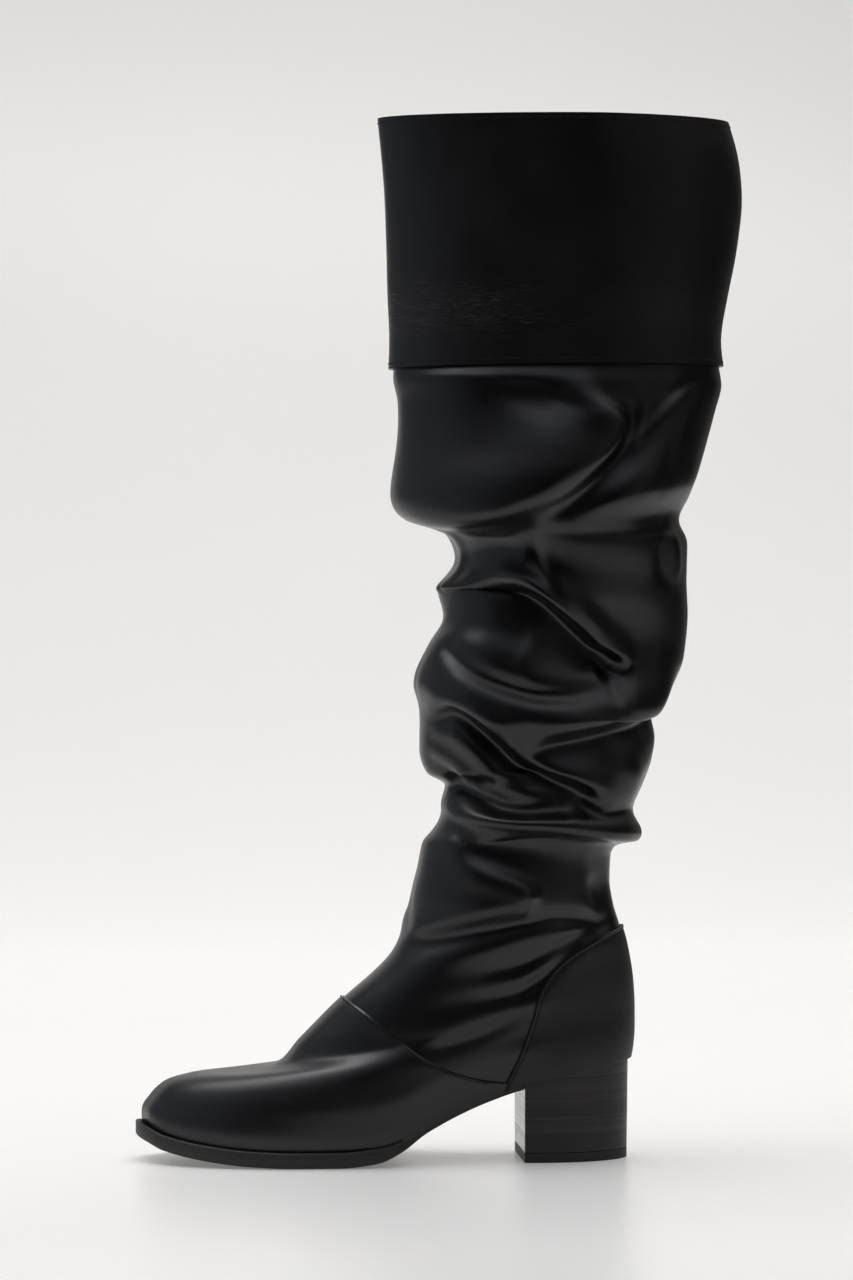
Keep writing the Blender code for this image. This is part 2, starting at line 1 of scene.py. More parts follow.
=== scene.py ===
"""Looks of the tall slouch boot: folded leather, sewn panels, stitches, sole, stacked heel and a pale studio.

The tables are in millimetres, in the boot's own frame: +Z up, toe towards -X, outer side of the leg
towards -Y.
"""

import math
from collections import namedtuple

import bpy
import numpy as np
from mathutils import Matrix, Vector


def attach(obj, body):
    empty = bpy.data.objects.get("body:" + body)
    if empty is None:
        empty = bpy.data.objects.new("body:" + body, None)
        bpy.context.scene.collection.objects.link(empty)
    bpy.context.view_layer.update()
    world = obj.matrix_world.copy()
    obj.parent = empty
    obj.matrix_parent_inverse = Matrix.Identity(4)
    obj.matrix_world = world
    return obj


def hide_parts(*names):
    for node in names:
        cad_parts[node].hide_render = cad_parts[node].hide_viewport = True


MM = 0.001

# Driving sizes
TOE_X = -155.0
FOOT_LENGTH = 258.5
HEEL_X = TOE_X + FOOT_LENGTH
HALF_BALL = 41.0
TOE_HEIGHT = 50.3
INSTEP_HEIGHT = 86.0
HEEL_HEIGHT = 53.0
CUFF_TOP = 550.0
CUFF_DEPTH = 132.0

# Walls, laps and clearances
UPPER_WALL = 1.6
PANEL_WALL = 1.1
CUFF_WALL = 2.0
GAP = 0.3
PANEL_LIFT = GAP + PANEL_WALL
CUFF_EASE = 0.4

# The vamp's edge: how far below the seam each row lies, and its share of the panel's lift
VAMP_RIM_DROPS = (1.6, 0.8, 0.3, 0.0)
VAMP_RIM_LIFTS = (0.95, 0.75, 0.15)

# Where along the foot the arch is narrowest, and its reach
ARCH_ALONG = 0.33
ARCH_REACH = 0.16

# Sole and heel
OUTSOLE_FOREFOOT = 5.6
OUTSOLE_WAIST = 2.6
WELT_HEIGHT = 2.2
WELT_LEDGE = 3.2
WELT_END_LEDGE = 1.0
WELT_ROUND = 0.5
WELT_END_X = -22.0
WAIST_TUCK = 1.5
SOLE_EDGE_ROUND = 1.4
BREAST_X = 43.3
HEEL_INSET = 0.6
HEEL_TAPER = 0.6
TOP_PIECE_HEIGHT = 5.0
INSOLE_HEIGHT = 2.0
INSOLE_INSET = 3.0

# Rows of stitches: how far apart, how long and how thick they are
Stitch = namedtuple("Stitch", "spacing length radius")
SEAM_STITCH = Stitch(2.0, 1.4, 0.42)
CUFF_STITCH = Stitch(2.4, 1.7, 0.34)
WELT_STITCH = Stitch(2.3, 1.7, 0.55)
CUFF_HEM = 2.6
SEAM_HEM = 1.5
BEAD_WIDTH = 2.0
BEAD_RISE = 0.45
BEAD_GROOVE = 0.3

# Resolution of the pieces
OUTER_COLUMNS = 204
INNER_COLUMNS = 72
AROUND = OUTER_COLUMNS + INNER_COLUMNS
FOOT_STEP = 3.2
SHAFT_STEP = 1.45
CUFF_STEP = 4.0
INNER_EVERY = 8
INNER_REACH = 4
INNER_SAFETY = 1.3
FOLD_SPACING = 1.5
FOLD_BLEND = 2.5
FOLD_BLEND_SHARE = 0.3
LOCATE_PASSES = 14
RELAX_PASSES = 2
COUNTER_PASSES = 60
COUNTER_ROWS = 130
COUNTER_COLUMNS = 24
COUNTER_RIM_SHARE = 0.90
COUNTER_RIM_COLUMNS = 22
VAMP_ROWS = 40
VAMP_COLUMNS = 70
WELT_COLUMNS = 180
SOLE_COLUMNS = 120
HEEL_COLUMNS = 48
INSOLE_COLUMNS = 90
BORDER_SAMPLES = 700
SEAM_SAMPLES = 200
RING_SAMPLES = 600
WELT_SAMPLES = 400
FOLDS_FADE_Z = 404.0

SolePoint = namedtuple("SolePoint", "x z")
SOLE_LINE = [
    SolePoint(TOE_X - 8, 19.5),
    SolePoint(TOE_X, 17),
    SolePoint(-146, 13.2),
    SolePoint(-124, 9.0),
    SolePoint(-102, 6.7),
    SolePoint(-80, GAP + OUTSOLE_FOREFOOT),
    SolePoint(-55, GAP + OUTSOLE_FOREFOOT),
    SolePoint(-35, 7.7),
    SolePoint(-22, 11.4),
    SolePoint(-8, 19.3),
    SolePoint(8, 27.5),
    SolePoint(25, 34.8),
    SolePoint(43, 41.0),
    SolePoint(70, 46.6),
    SolePoint(HEEL_X, HEEL_HEIGHT),
]

# Edges of the two sewn-on panels, seen from the side
EdgePoint = namedtuple("EdgePoint", "x z")
VAMP_EDGE = [
    EdgePoint(-49.6, 85.4),
    EdgePoint(-43.5, 81.5),
    EdgePoint(-33, 73.5),
    EdgePoint(-23, 65.5),
    EdgePoint(-7, 54.5),
    EdgePoint(8.5, 47.5),
    EdgePoint(24, 43.5),
    EdgePoint(33.5, 42.3),
]
COUNTER_EDGE = [
    EdgePoint(30.6, 37.1),
    EdgePoint(33, 42.5),
    EdgePoint(41, 60),
    EdgePoint(46.5, 76),
    EdgePoint(50, 88.5),
    EdgePoint(57, 99.5),
    EdgePoint(67.5, 109),
    EdgePoint(81, 116.5),
    EdgePoint(92, 121),
    EdgePoint(97, 122.6),
]

# A section is a ring round the boot through a front and a back point of its side view. lateral and medial are
# its half widths, widest is where along it they lie, from the back, and the powers say how full its ends are.
# dip is how far it follows the sole line, waist how much the arch narrows it, turn how far the toe bends in.
Section = namedtuple(
    "Section",
    "name front_x front_z back_x back_z lateral medial widest back_power front_power"
    " dip waist_lateral waist_medial turn",
    defaults=(0.5, 2.0, 2.0, 0.0, 0.0, 0.0, 0.0),
)

FOOT = [
    Section("feather", TOE_X, 17, HEEL_X - 1.8, HEEL_HEIGHT,
            HALF_BALL, HALF_BALL, 0.65, 4.0, 2.2, 1.0, 11.5, 18.0, 5.0),
    Section("rand", TOE_X - 0.4, 25.5, HEEL_X - 0.6, HEEL_HEIGHT + 7,
            HALF_BALL + 2, HALF_BALL + 1.5, 0.64, 3.8, 2.2, 0.90, 9.5, 15.0, 5.0),
    Section("toe wall", TOE_X + 3.5, 34.5, HEEL_X, HEEL_HEIGHT + 15,
            HALF_BALL + 2, HALF_BALL + 1, 0.62, 3.5, 2.1, 0.78, 7.0, 11.0, 5.0),
    Section("toe box", TOE_X + 12, 44.5, HEEL_X, HEEL_HEIGHT + 23,
            HALF_BALL, HALF_BALL - 1, 0.60, 3.2, 2.0, 0.62, 4.5, 7.0, 4.5),
    Section("toe top", TOE_X + 28, TOE_HEIGHT - 0.8, HEEL_X, HEEL_HEIGHT + 30,
            HALF_BALL - 2, HALF_BALL - 2.5, 0.56, 3.0, 2.0, 0.46, 2.5, 4.0, 4.0),
    Section("vamp low", TOE_X + 50, TOE_HEIGHT, HEEL_X - 0.4, HEEL_HEIGHT + 37,
            HALF_BALL - 3.5, HALF_BALL - 4, 0.53, 2.8, 2.0, 0.32, 1.0, 2.0, 3.0),
    Section("vamp crease", TOE_X + 69, 53.0, HEEL_X - 1, HEEL_HEIGHT + 44,
            HALF_BALL - 4.5, HALF_BALL - 5, 0.50, 2.6, 2.0, 0.20, 0.0, 0.0, 2.0),
    Section("vamp rise", TOE_X + 83, 65.5, HEEL_X - 2.4, HEEL_HEIGHT + 52,
            HALF_BALL - 5, HALF_BALL - 5, 0.50, 2.5, 2.0, 0.10, 0.0, 0.0, 1.0),
    Section("instep", TOE_X + 105, INSTEP_HEIGHT, HEEL_X - 4.4, HEEL_HEIGHT + 62,
            HALF_BALL - 4.5, HALF_BALL - 4.5, 0.50, 2.4, 2.1, 0.03),
    Section("throat", TOE_X + 119.5, 97.5, HEEL_X - 7, HEEL_HEIGHT + 71,
            HALF_BALL - 3, HALF_BALL - 3, 0.50, 2.3, 2.1),
]

SHAFT = [
    Section("ankle low", -24, 110, 93.5, 134, 40, 40),
    Section("ankle", -16, 128, 91.5, 147, 42, 42),
    Section("ankle top", -11, 152, 92, 160, 43, 43),
    Section("hem under", -8.5, 167, 94, 164.5, 44, 44),
    Section("hem", -3.5, 173, 102, 168, 46, 46),
    Section("hem tip", 0.5, 179, 107.5, 174, 46, 47),
    Section("front pinch low", 3.2, 188, 103.5, 184, 44, 46),
    Section("front pinch", 4.2, 197.5, 109, 198, 45, 46),
    Section("roll low", -6, 203.5, 113.5, 210, 46, 47),
    Section("roll", -10, 216, 115.5, 222, 46, 47),
    Section("back pinch", -9.5, 238, 113.5, 234.5, 45, 45),
    Section("bulge low", -7.5, 259, 120.5, 243, 47, 47),
    Section("bulge seam", -4.5, 272, 127, 253, 48, 48),
    Section("bulge", 2, 286, 132, 265, 49, 49),
    Section("bulge high", -2, 303, 134.5, 288, 50, 50),
    Section("front notch", 5, 317.5, 133.5, 308, 48, 49),
    Section("notch top", -5, 332, 133.5, 325, 49, 50),
    Section("back notch", -15, 344, 129, 338.5, 49, 49),
    Section("knee low", -19.8, 357, 133.5, 350, 49, 49),
    Section("knee", -20.5, 378, 140.5, 370, 47, 48),
    Section("knee high", -21.5, 400, 148, 396, 44, 45),
    Section("knee edge", -24, 413, 151.5, 411, 43, 43),
]

CUFF = [
    Section("cuff edge", -26.5, 417.5, 152.5, 419.5, 42, 42, 0.45, 2.0, 1.8),
    Section("cuff low", -26, 433, 151, 433, 42, 42, 0.45, 2.0, 1.7),
    Section("cuff waist", -27, 456, 154.8, 457, 42, 42, 0.43, 2.0, 1.6),
    Section("cuff middle", -27.6, 481, 159.5, 481, 41, 41, 0.42, 1.9, 1.6),
    Section("cuff bulge", -28.6, 509, 162.5, 509, 40, 40, 0.41, 1.8, 1.6),
    Section("cuff high", -30.2, 529, 160.8, 529, 39, 39, 0.40, 1.7, 1.5),
    Section("collar", -32.3, CUFF_TOP, 155.3, CUFF_TOP - 0.5, 38, 38, 0.40, 1.6, 1.5),
]

# A fold is a soft ridge, or a trough where its rise is negative, along a path of the side view. side is -1 on
# the outer side and 1 on the inner. rise is given at the start, the middle and the end of the path, width is
# the half width on its left and on its right as it runs, so above and below a path towards the back. droop is
# how far the crest hangs down, and power says how flat the crest is.
Fold = namedtuple("Fold", "name side path rise width droop power", defaults=(0.0, 2.0))

FOLDS = [
    Fold("knee lip", -1, ((-19, 354), (-4, 349), (12, 347), (26, 348), (46, 357), (60, 366), (75, 376),
         (85, 385), (89, 393), (86, 402)), (6, 13, 6), (28, 12), 6),
    Fold("knee dent", -1, ((24, 413), (40, 404), (54, 401), (64, 406)), (-0.5, -2.5, -1), (9, 10)),
    Fold("knee swell", -1, ((70, 404), (76, 396), (86, 394)), (0.5, 1.5, 1), (7, 7)),
    Fold("neck hollow", -1, ((-6, 324), (8, 321), (24, 322), (38, 327)), (-3, -11, -4), (10, 20)),
    Fold("knee crease", -1, ((52, 344), (66, 352), (78, 361), (88, 371), (95, 382), (97, 392), (92, 402),
         (80, 409)), (-1, -6, -3), (4, 6)),
    Fold("strip ridge", -1, ((66, 350), (79, 359), (95, 374), (109, 391), (124, 408)), (0.3, 1.2, 2),
         (8, 8)),
    Fold("strip crease", -1, ((54, 342), (62, 344), (75, 351), (90, 364), (106, 380), (122, 396),
         (137, 412)), (-1, -4, -2), (8, 7)),
    Fold("corner lip", -1, ((58, 343), (76, 349), (100, 355), (128, 363)), (2, 7, 3), (18, 12), 3),
    Fold("saddle line", -1, ((124, 390), (116, 368), (110, 352)), (-0.3, -0.8, -0.3), (4, 4)),
    Fold("panel line", -1, ((56, 331), (75, 330), (100, 330.5), (118, 333), (130, 336)), (-0.5, -1.2, -1),
         (4, 3.5)),
    Fold("panel hollow", -1, ((86, 264), (94, 264), (102, 264)), (-10, -14, -8), (50, 12)),
    Fold("edge crescent", -1, ((121, 333), (125, 322), (126, 312), (123, 302)), (0.5, 2, 0.5), (5, 5)),
    Fold("crescent line", -1, ((119, 333), (117, 321), (118, 311), (123, 303)), (-0.5, -2, -0.5), (4, 4)),
    Fold("panel crease", -1, ((47, 337), (46, 326), (47.5, 316), (52.5, 305.5), (66, 291), (80, 279),
         (93, 270)), (-0.5, -2.8, -1), (3.5, 4)),
    Fold("pocket lip", -1, ((-4, 306), (5, 309), (19, 312), (33, 309.5), (48, 302.5), (60, 293.5),
         (73, 283.5), (85, 274), (95, 268), (101, 261), (99.5, 252), (92, 246.5)), (3, 6, 2), (8, 5), 3),
    Fold("calf pocket", -1, ((2, 300), (19, 303.5), (32, 301), (45, 294.5), (57, 285.5), (70, 275.5),
         (82, 266.5), (90, 262)), (-6, -13, -4), (5, 24)),
    Fold("back streak", -1, ((47, 282), (43, 268), (40, 257)), (0.5, 1.8, 0.5), (5, 5)),
    Fold("pocket crevice", -1, ((3, 270), (11, 262), (22, 255), (36, 249.5), (50, 246.5), (64, 246),
         (80, 247.5), (91, 250)), (-2, -5, -3), (5, 3.5)),
    Fold("calf sausage", -1, ((-8, 255), (12, 246), (31, 236), (50, 235), (75, 238), (101, 242),
         (114, 247)), (5, 7, 6), (16, 9), 2.5),
    Fold("sausage edge", -1, ((47, 223), (54, 227), (68, 230.5), (83, 233.5), (97, 236.5), (109, 240)),
         (0.3, 2, 2), (8, 5), 2),
    Fold("cheek pocket", -1, ((48, 217), (58, 219), (70, 221.5), (84, 224.5), (97, 227.5), (107, 230.5)),
         (-5, -6, -3), (6, 13)),
    Fold("diagonal lip", -1, ((-3, 239), (2, 245), (8, 245.5), (15, 241.5), (23, 234.5), (31, 226.5),
         (38, 219.5), (46, 214), (56, 209.5), (66, 206), (75, 202.5), (81, 198), (85, 191), (84, 184)),
         (1, 3, 1.5), (8, 5), 2),
    Fold("diagonal recess", -1, ((1, 233), (6, 236), (11, 234), (17, 228.5), (23, 222), (29, 215.5),
         (36, 208.5), (46, 203.5), (56, 199.5), (66, 196), (73, 192)), (-2, -8, -5), (5, 8)),
    Fold("tongue ridge", -1, ((-6, 231), (2, 227), (11, 221), (19, 214), (25, 207)), (0.3, 1.5, 0.3),
         (6, 5)),
    Fold("tongue groove", -1, ((-4, 220), (3, 216), (11, 210), (18, 203), (24, 197)), (-1, -2, -1), (5, 5)),
    Fold("shin trough", -1, ((-5, 209), (3, 203), (12, 196), (22, 190.5), (32, 187), (44, 185.5),
         (60, 186)), (-2, -6, -3), (6, 5)),
    Fold("low panel bulge", -1, ((92, 216), (98, 202), (95, 186)), (2, 4, 2), (12, 12)),
    Fold("hem roll", -1, ((3, 190), (9, 185.5), (18, 183), (31, 181.5), (48, 180.5), (64, 178.5),
         (85, 175.5), (104, 173)), (2, 6, 2.5), (6, 6), 2),
    Fold("hem pocket", -1, ((8, 167), (30, 167), (50, 165.5), (68, 164), (82, 163)), (-2, -8, -2), (7, 22)),
    Fold("ankle waist", -1, ((-10, 140), (40, 138), (84, 138)), (-0.5, -2, -0.5), (14, 28)),
    Fold("ankle rim", -1, ((4, 168), (10, 158), (19, 153.5), (30, 149.5), (40, 145.5), (45, 140)),
         (1.5, 3.5, 2.5), (4.5, 9)),
    Fold("ankle lip", -1, ((45, 140), (39, 133.5), (30, 130), (19, 127.5), (4, 124.5), (-12, 122)),
         (2, 3, 1.5), (4, 10)),
    Fold("ankle roll", -1, ((-16, 141), (5, 141), (25, 140), (38, 139)), (1.5, 4, 2), (16, 11), 1.5),
    Fold("ankle recess", -1, ((44, 136), (38, 131), (29, 128), (17, 124.5), (2, 120.5), (-12, 117)),
         (-1.5, -4.5, -2), (8, 4)),
    Fold("heel crease high", -1, ((89, 125.5), (77, 127), (60, 128), (44, 125.5), (23, 120)),
         (-2, -2.5, -0.5), (4, 4)),
    Fold("heel ridge high", -1, ((70, 122), (58, 121.5), (44, 118.5), (27, 113), (2, 109)), (0.2, 0.6, 0.2),
         (4, 4)),
    Fold("heel crease middle", -1, ((86, 122), (76, 119.5), (64.5, 115), (52, 109), (40, 104), (24, 101)),
         (-2, -2.5, -0.5), (4, 4)),
    Fold("heel ridge middle", -1, ((66, 110), (56, 104), (44, 98), (20, 93), (2, 90)), (0.2, 0.6, 0.2),
         (4, 4)),
    Fold("heel crease low", -1, ((70, 113), (60, 104), (50, 95.5), (38, 89), (20, 85)), (-1, -2.5, -0.5),
         (4, 4)),
    Fold("instep ridge", -1, ((42, 88), (23, 80), (2, 73), (-18, 70), (-35, 76)), (0.3, 1.0, 0.6), (6, 6)),
    Fold("instep trough", -1, ((44, 82), (23, 70), (0, 62), (-14, 59)), (-0.5, -1.5, -0.5), (5, 5)),
    Fold("tendon dimple", -1, ((82, 152), (84, 140), (86, 130)), (-1, -3, -1), (8, 8)),
    Fold("inner knee roll", 1, ((-10, 362), (30, 352), (70, 346), (110, 352)), (2, 5, 2), (20, 9), 2),
    Fold("inner knee valley", 1, ((-2, 330), (40, 326), (84, 322), (120, 332)), (-3, -7, -3), (10, 10)),
    Fold("inner calf bulge", 1, ((10, 300), (56, 296), (104, 304)), (2, 5, 3), (16, 12), 2),
    Fold("inner calf pocket", 1, ((14, 268), (60, 264), (108, 272)), (-3, -8, -3), (12, 12)),
    Fold("inner sausage", 1, ((-2, 236), (44, 242), (100, 240)), (2, 6, 4), (11, 9), 3),
    Fold("inner undercut", 1, ((2, 212), (40, 217), (96, 215)), (-3, -7, -3), (9, 9)),
    Fold("inner shin roll", 1, ((10, 190), (50, 193), (98, 190)), (2, 4, 2), (10, 9), 2),
    Fold("inner hem undercut", 1, ((-5, 166), (40, 168), (86, 162)), (-2, -5, -3), (9, 9)),
    Fold("inner ankle ridge", 1, ((-16, 126), (10, 134), (44, 140)), (2, 3, 1), (8, 8)),
    Fold("inner ankle valley", 1, ((-8, 112), (30, 118), (66, 128)), (-1, -3, -1), (8, 8)),
]

# Tones of the room from its left side (0) past the camera (0.5) to its right side (1), and from below (0) up
ROOM_SIDES = [
    (0.0, (0.32, 0.335, 0.37)),
    (0.11, (0.27, 0.285, 0.32)),
    (0.28, (0.010, 0.010, 0.012)),
    (0.62, (0.008, 0.008, 0.008)),
    (0.86, (0.22, 0.21, 0.20)),
    (0.95, (0.05, 0.05, 0.05)),
]
ROOM_HEIGHTS = [
    (0.62, (0.0, 0.0, 0.0)),
    (0.82, (0.04, 0.042, 0.047)),
    (0.93, (0.50, 0.52, 0.56)),
    (1.0, (1.40, 1.40, 1.44)),
]

# The paper glows a little from below, a painted glow that keeps the floor light in the boot's shadow. Its
# colour is painted shade: for all rays but the camera's it fades into the dark of the room towards the
# camera, the glow fading with it, and far behind the boot it is painted a little darker. In metres
PAPER = (0.81, 0.795, 0.775)
PAPER_GLOW = 0.17
PAPER_BRIGHT_Y = -0.45
PAPER_FADES_Y = -1.9
PAPER_FAR_Y = (0.1, 0.8)
PAPER_FAR_DIM = 0.05
PAPER_TONES = [
    (0.0, (0.03, 0.03, 0.03)),
    (0.45, (0.20, 0.197, 0.193)),
    (0.75, (0.45, 0.445, 0.44)),
    (1.0, PAPER),
]

# The lights, in metres and watts
Softbox = namedtuple("Softbox", "name place aim size power")
SOFTBOXES = [
    Softbox("top_panel", (-0.3, 0.35, 2.6), (-0.2, 0.1, 0), (3.0, 1.2), 28),
    Softbox("wall_wash", (0.2, 0.9, 2.6), (0, 2.3, 0.6), (3.0, 0.5), 19),
]

# The photographed view, in metres
CAMERA_PLACE = (-0.1709, -2.0931, 0.274)
CAMERA_YAW = 4.5
CAMERA_LENS = 111.4


def between_rows(knots, values, at):
    """A cubic through the rows that doesn't overshoot between them."""
    step = np.diff(knots)
    grade = np.diff(values) / step
    product = grade[:-1] * grade[1:]
    total = np.where(product > 0, grade[:-1] + grade[1:], 1.0)
    inner = np.where(product > 0, 2 * product / total, 0.0)
    slope = np.concatenate(([grade[0]], inner, [grade[-1]]))
    row = np.clip(np.searchsorted(knots, at, side="right") - 1, 0, len(knots) - 2)
    length = step[row]
    share = np.clip((at - knots[row]) / length, 0.0, 1.0)
    back = 1 - share
    return (
        values[row] * back**2 * (1 + 2 * share)
        + values[row + 1] * share**2 * (1 + 2 * back)
        + length * (slope[row] * share * back**2 - slope[row + 1] * back * share**2)
    )


def ease(x, start, end):
    """0 up to start, 1 from end on, and smooth between them."""
    share = np.clip((x - start) / (end - start), 0, 1)
    return share * share * (3 - 2 * share)


def unit(vectors, least=1e-9):
    return vectors / np.maximum(np.linalg.norm(vectors, axis=-1, keepdims=True), least)


def distances(line):
    """How far along a line its points lie."""
    return np.concatenate(([0.0], np.cumsum(np.linalg.norm(np.diff(line, axis=0), axis=1))))


def sole_height(x):
    """Height of the line where the upper meets the sole."""
    table = np.array(SOLE_LINE, float)
    return between_rows(table[:, 0], table[:, 1], np.asarray(x, float))


def sole_dip(x):
    """How far the sole line lies from the straight line between the feather's two ends."""
    feather = FOOT[0]
    share = (x - feather.front_x) / (feather.back_x - feather.front_x)
    return sole_height(x) - feather.front_z - share * (feather.back_z - feather.front_z)


def inset(section, by):
    """The same section, smaller all round by that much."""
    return section._replace(
        front_x=section.front_x + by,
        back_x=section.back_x - by,
        lateral=section.lateral - by,
        medial=section.medial - by,
    )


UPPER = FOOT + SHAFT + [inset(section, CUFF_WALL + GAP + CUFF_EASE) for section in CUFF[:2]]


class Form:
    """A surface through a list of sections. A level is a section's mean height, and an angle runs from the
    back (0) over the outer side to the front (pi) and over the inner side to the back again."""

    def __init__(self, sections, folds=()):
        self.sections = sections
        self.folds = folds
        self.levels = np.array([(s.front_z + s.back_z) / 2 for s in sections])

    def column(self, field, level):
        values = np.array([getattr(s, field) for s in self.sections], float)
        return between_rows(self.levels, values, level)

    def bare(self, level, angle):
        """Points of the surface with no folds, in millimetres."""
        level, angle = np.broadcast_arrays(np.asarray(level, float), np.asarray(angle, float))
        col = {f: self.column(f, level) for f in Section._fields[1:]}
        along = (1 - np.cos(angle)) / 2
        x = col["back_x"] + (col["front_x"] - col["back_x"]) * along
        z = col["back_z"] + (col["front_z"] - col["back_z"]) * along + col["dip"] * sole_dip(x)
        outer = np.sin(angle) >= 0
        width = np.where(outer, col["lateral"], col["medial"])
        waist = np.where(outer, col["waist_lateral"], col["waist_medial"])
        behind = np.clip((col["widest"] - along) / col["widest"], 0, 1) ** col["back_power"]
        ahead = np.clip((along - col["widest"]) / (1 - col["widest"]), 0, 1) ** col["front_power"]
        fullness = np.sqrt(np.clip(1 - behind - ahead, 0, 1))
        arch = np.exp(-(((along - ARCH_ALONG) / ARCH_REACH) ** 2)) * np.minimum(1, fullness * 1.5)
        middle = col["turn"] * np.clip((along - 0.5) / 0.5, 0, 1) ** 2
        y = middle + np.where(outer, -1, 1) * (width * fullness - waist * arch)
        return np.stack([x, y, z], axis=-1)

    def locate(self, x, z):
        """Level and outer-side angle of the surface point that the side view shows at x and z."""
        level = np.array(z, float)
        for _ in range(LOCATE_PASSES):
            front, back = self.column("front_x", level), self.column("back_x", level)
            along = np.clip((back - x) / (back - front), 0.0, 1.0)
            angle = np.arccos(1 - 2 * along)
            level = np.clip(level + z - self.bare(level, angle)[..., 2], self.levels[0], self.levels[-1])
        return level, angle

    def place(self, x, z, side):
        level, angle = self.locate(x, z)
        return self.bare(level, angle if side < 0 else 2 * math.pi - angle)

    def normals(self, level, angle):
        """Outward directions of the surface with no folds."""
        small = 1e-3
        up = self.bare(level + small, angle) - self.bare(level - small, angle)
        round_it = self.bare(level, angle + small) - self.bare(level, angle - small)
        return unit(np.cross(up, round_it))

    def points(self, level, angle, lift=0.0):
        """Points of the folded surface, raised along its outward direction by lift."""
        level, angle = np.broadcast_arrays(np.asarray(level, float), np.asarray(angle, float))
        bare = self.bare(level, angle)
        out = self.normals(level, angle)
        raised = bare + out * np.asarray(lift)[..., None]
        loose = 1 - ease(bare[..., 2], FOLDS_FADE_Z, CUFF_TOP - CUFF_DEPTH - 1)
        for fold in self.folds:
            rise, hang = fold_push(self, fold, bare)
            raised = raised + out * (loose * rise)[..., None]
            raised[..., 2] -= loose * hang
        return raised


def smooth_path(path, count):
    """A curve of the side view through the path's points, in even steps."""
    path = np.array(path, float)
    lengths = distances(path)
    at = np.linspace(0, lengths[-1], count)
    return np.stack([between_rows(lengths, path[:, axis], at) for axis in (0, 1)], axis=1)


def fold_push(form, fold, points):
    """How far a fold moves each point out and down."""
    length = distances(np.array(fold.path, float))[-1]
    seen = smooth_path(fold.path, 2 + round(length / FOLD_SPACING))
    line = form.place(seen[:, 0], seen[:, 1], fold.side)
    run = unit(np.gradient(line, axis=0), 1e-6)
    leftward = np.stack([-run[:, 2], 0 * run[:, 1], run[:, 0]], axis=1)
    reach = 3 * max(fold.width)
    blend = max(FOLD_BLEND, FOLD_BLEND_SHARE * max(fold.width))
    flat = points.reshape(-1, 3)
    close = ((flat > line.min(0) - reach) & (flat < line.max(0) + reach)).all(1)
    offset = flat[close][:, None, :] - line
    square = (offset**2).sum(-1)
    weight = np.exp((square.min(1, keepdims=True) - square) / blend**2)
    weight /= weight.sum(1, keepdims=True)
    where = (weight * np.linspace(0, 1, len(line))).sum(1)
    left = (weight * np.einsum("psc,sc->ps", offset, leftward)).sum(1)
    away = np.maximum((weight * square).sum(1) - blend**2 / 2, 0)
    lean = np.clip(left / np.sqrt(away + 1), -1, 1)
    width = (fold.width[0] + fold.width[1]) / 2 + (fold.width[0] - fold.width[1]) / 2 * lean
    shape = np.exp(-((away / width**2) ** (fold.power / 2)))
    first, half, last = fold.rise
    ends = first * (1 - where) * (1 - 2 * where) + last * where * (2 * where - 1)
    rise = ends + 4 * half * where * (1 - where)
    pushed, hung = np.zeros(len(flat)), np.zeros(len(flat))
    pushed[close] = rise * shape
    hung[close] = fold.droop * shape
    return pushed.reshape(points.shape[:-1]), hung.reshape(points.shape[:-1])


UPPER_FORM = Form(UPPER, FOLDS)
CUFF_FORM = Form(CUFF)
FEATHER = UPPER_FORM.levels[0]


def ring_levels(sections, step):
    """Levels from the first section to the last, about a step apart along the front or the back."""
    levels = []
    for low, high in zip(sections, sections[1:]):
        front = math.dist(low[1:3], high[1:3])
        back = math.dist(low[3:5], high[3:5])
        count = max(1, round(max(front, back) / step))
        start, end = (low.front_z + low.back_z) / 2, (high.front_z + high.back_z) / 2
        levels += list(np.linspace(start, end, count, endpoint=False))
    last = sections[-1]
    return np.array(levels + [(last.front_z + last.back_z) / 2])


def full_turn():
    """Angles once round, closer together on the outer side, where the folds are finer."""
    outer = np.arange(OUTER_COLUMNS) * math.pi / OUTER_COLUMNS
    inner = np.arange(INNER_COLUMNS) * math.pi / INNER_COLUMNS
    return np.concatenate([outer, math.pi + inner])


def sheet_faces(rows, columns, around, first=0):
    """Quads of a grid of points, row by row. The columns close into a ring where around is set."""
    r, c = np.meshgrid(np.arange(rows - 1), np.arange(columns if around else columns - 1), indexing="ij")
    d = (c + 1) % columns
    low, high = first + r * columns, first + (r + 1) * columns
    return np.stack([low + c, low + d, high + d, high + c], axis=-1).reshape(-1, 4).tolist()


def add_piece(name, points, faces, material, node=None, sharp=40):
    """One piece of the boot from points in millimetres, which may stand for a node of the solids."""
    mesh = bpy.data.meshes.new(name)
    mesh.from_pydata((np.asarray(points) * MM).tolist(), [], faces)
    mesh.validate()
    mesh.materials.append(material)
    mesh.shade_smooth()
    mesh.set_sharp_from_angle(angle=math.radians(sharp))
    piece = bpy.data.objects.new(name, mesh)
    bpy.context.scene.collection.objects.link(piece)
    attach(piece, "root")
    if node:
        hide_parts(node)
    return piece


def walled_faces(rows, columns, inner_rows):
    """Faces of a ring wall: an outer grid, then an inner grid with fewer rows, joined at both rims."""
    size = rows * columns
    faces = sheet_faces(rows, columns, True)
    faces += [face[::-1] for face in sheet_faces(inner_rows, columns, True, size)]
    for outer_row, inner_row in ((0, 0), (rows - 1, inner_rows - 1)):
        for c in range(columns):
            d = (c + 1) % columns
            a, b = outer_row * columns + c, outer_row * columns + d
            e, f = size + inner_row * columns + d, size + inner_row * columns + c
            faces.append([a, f, e, b] if outer_row == 0 else [a, b, e, f])
    return faces


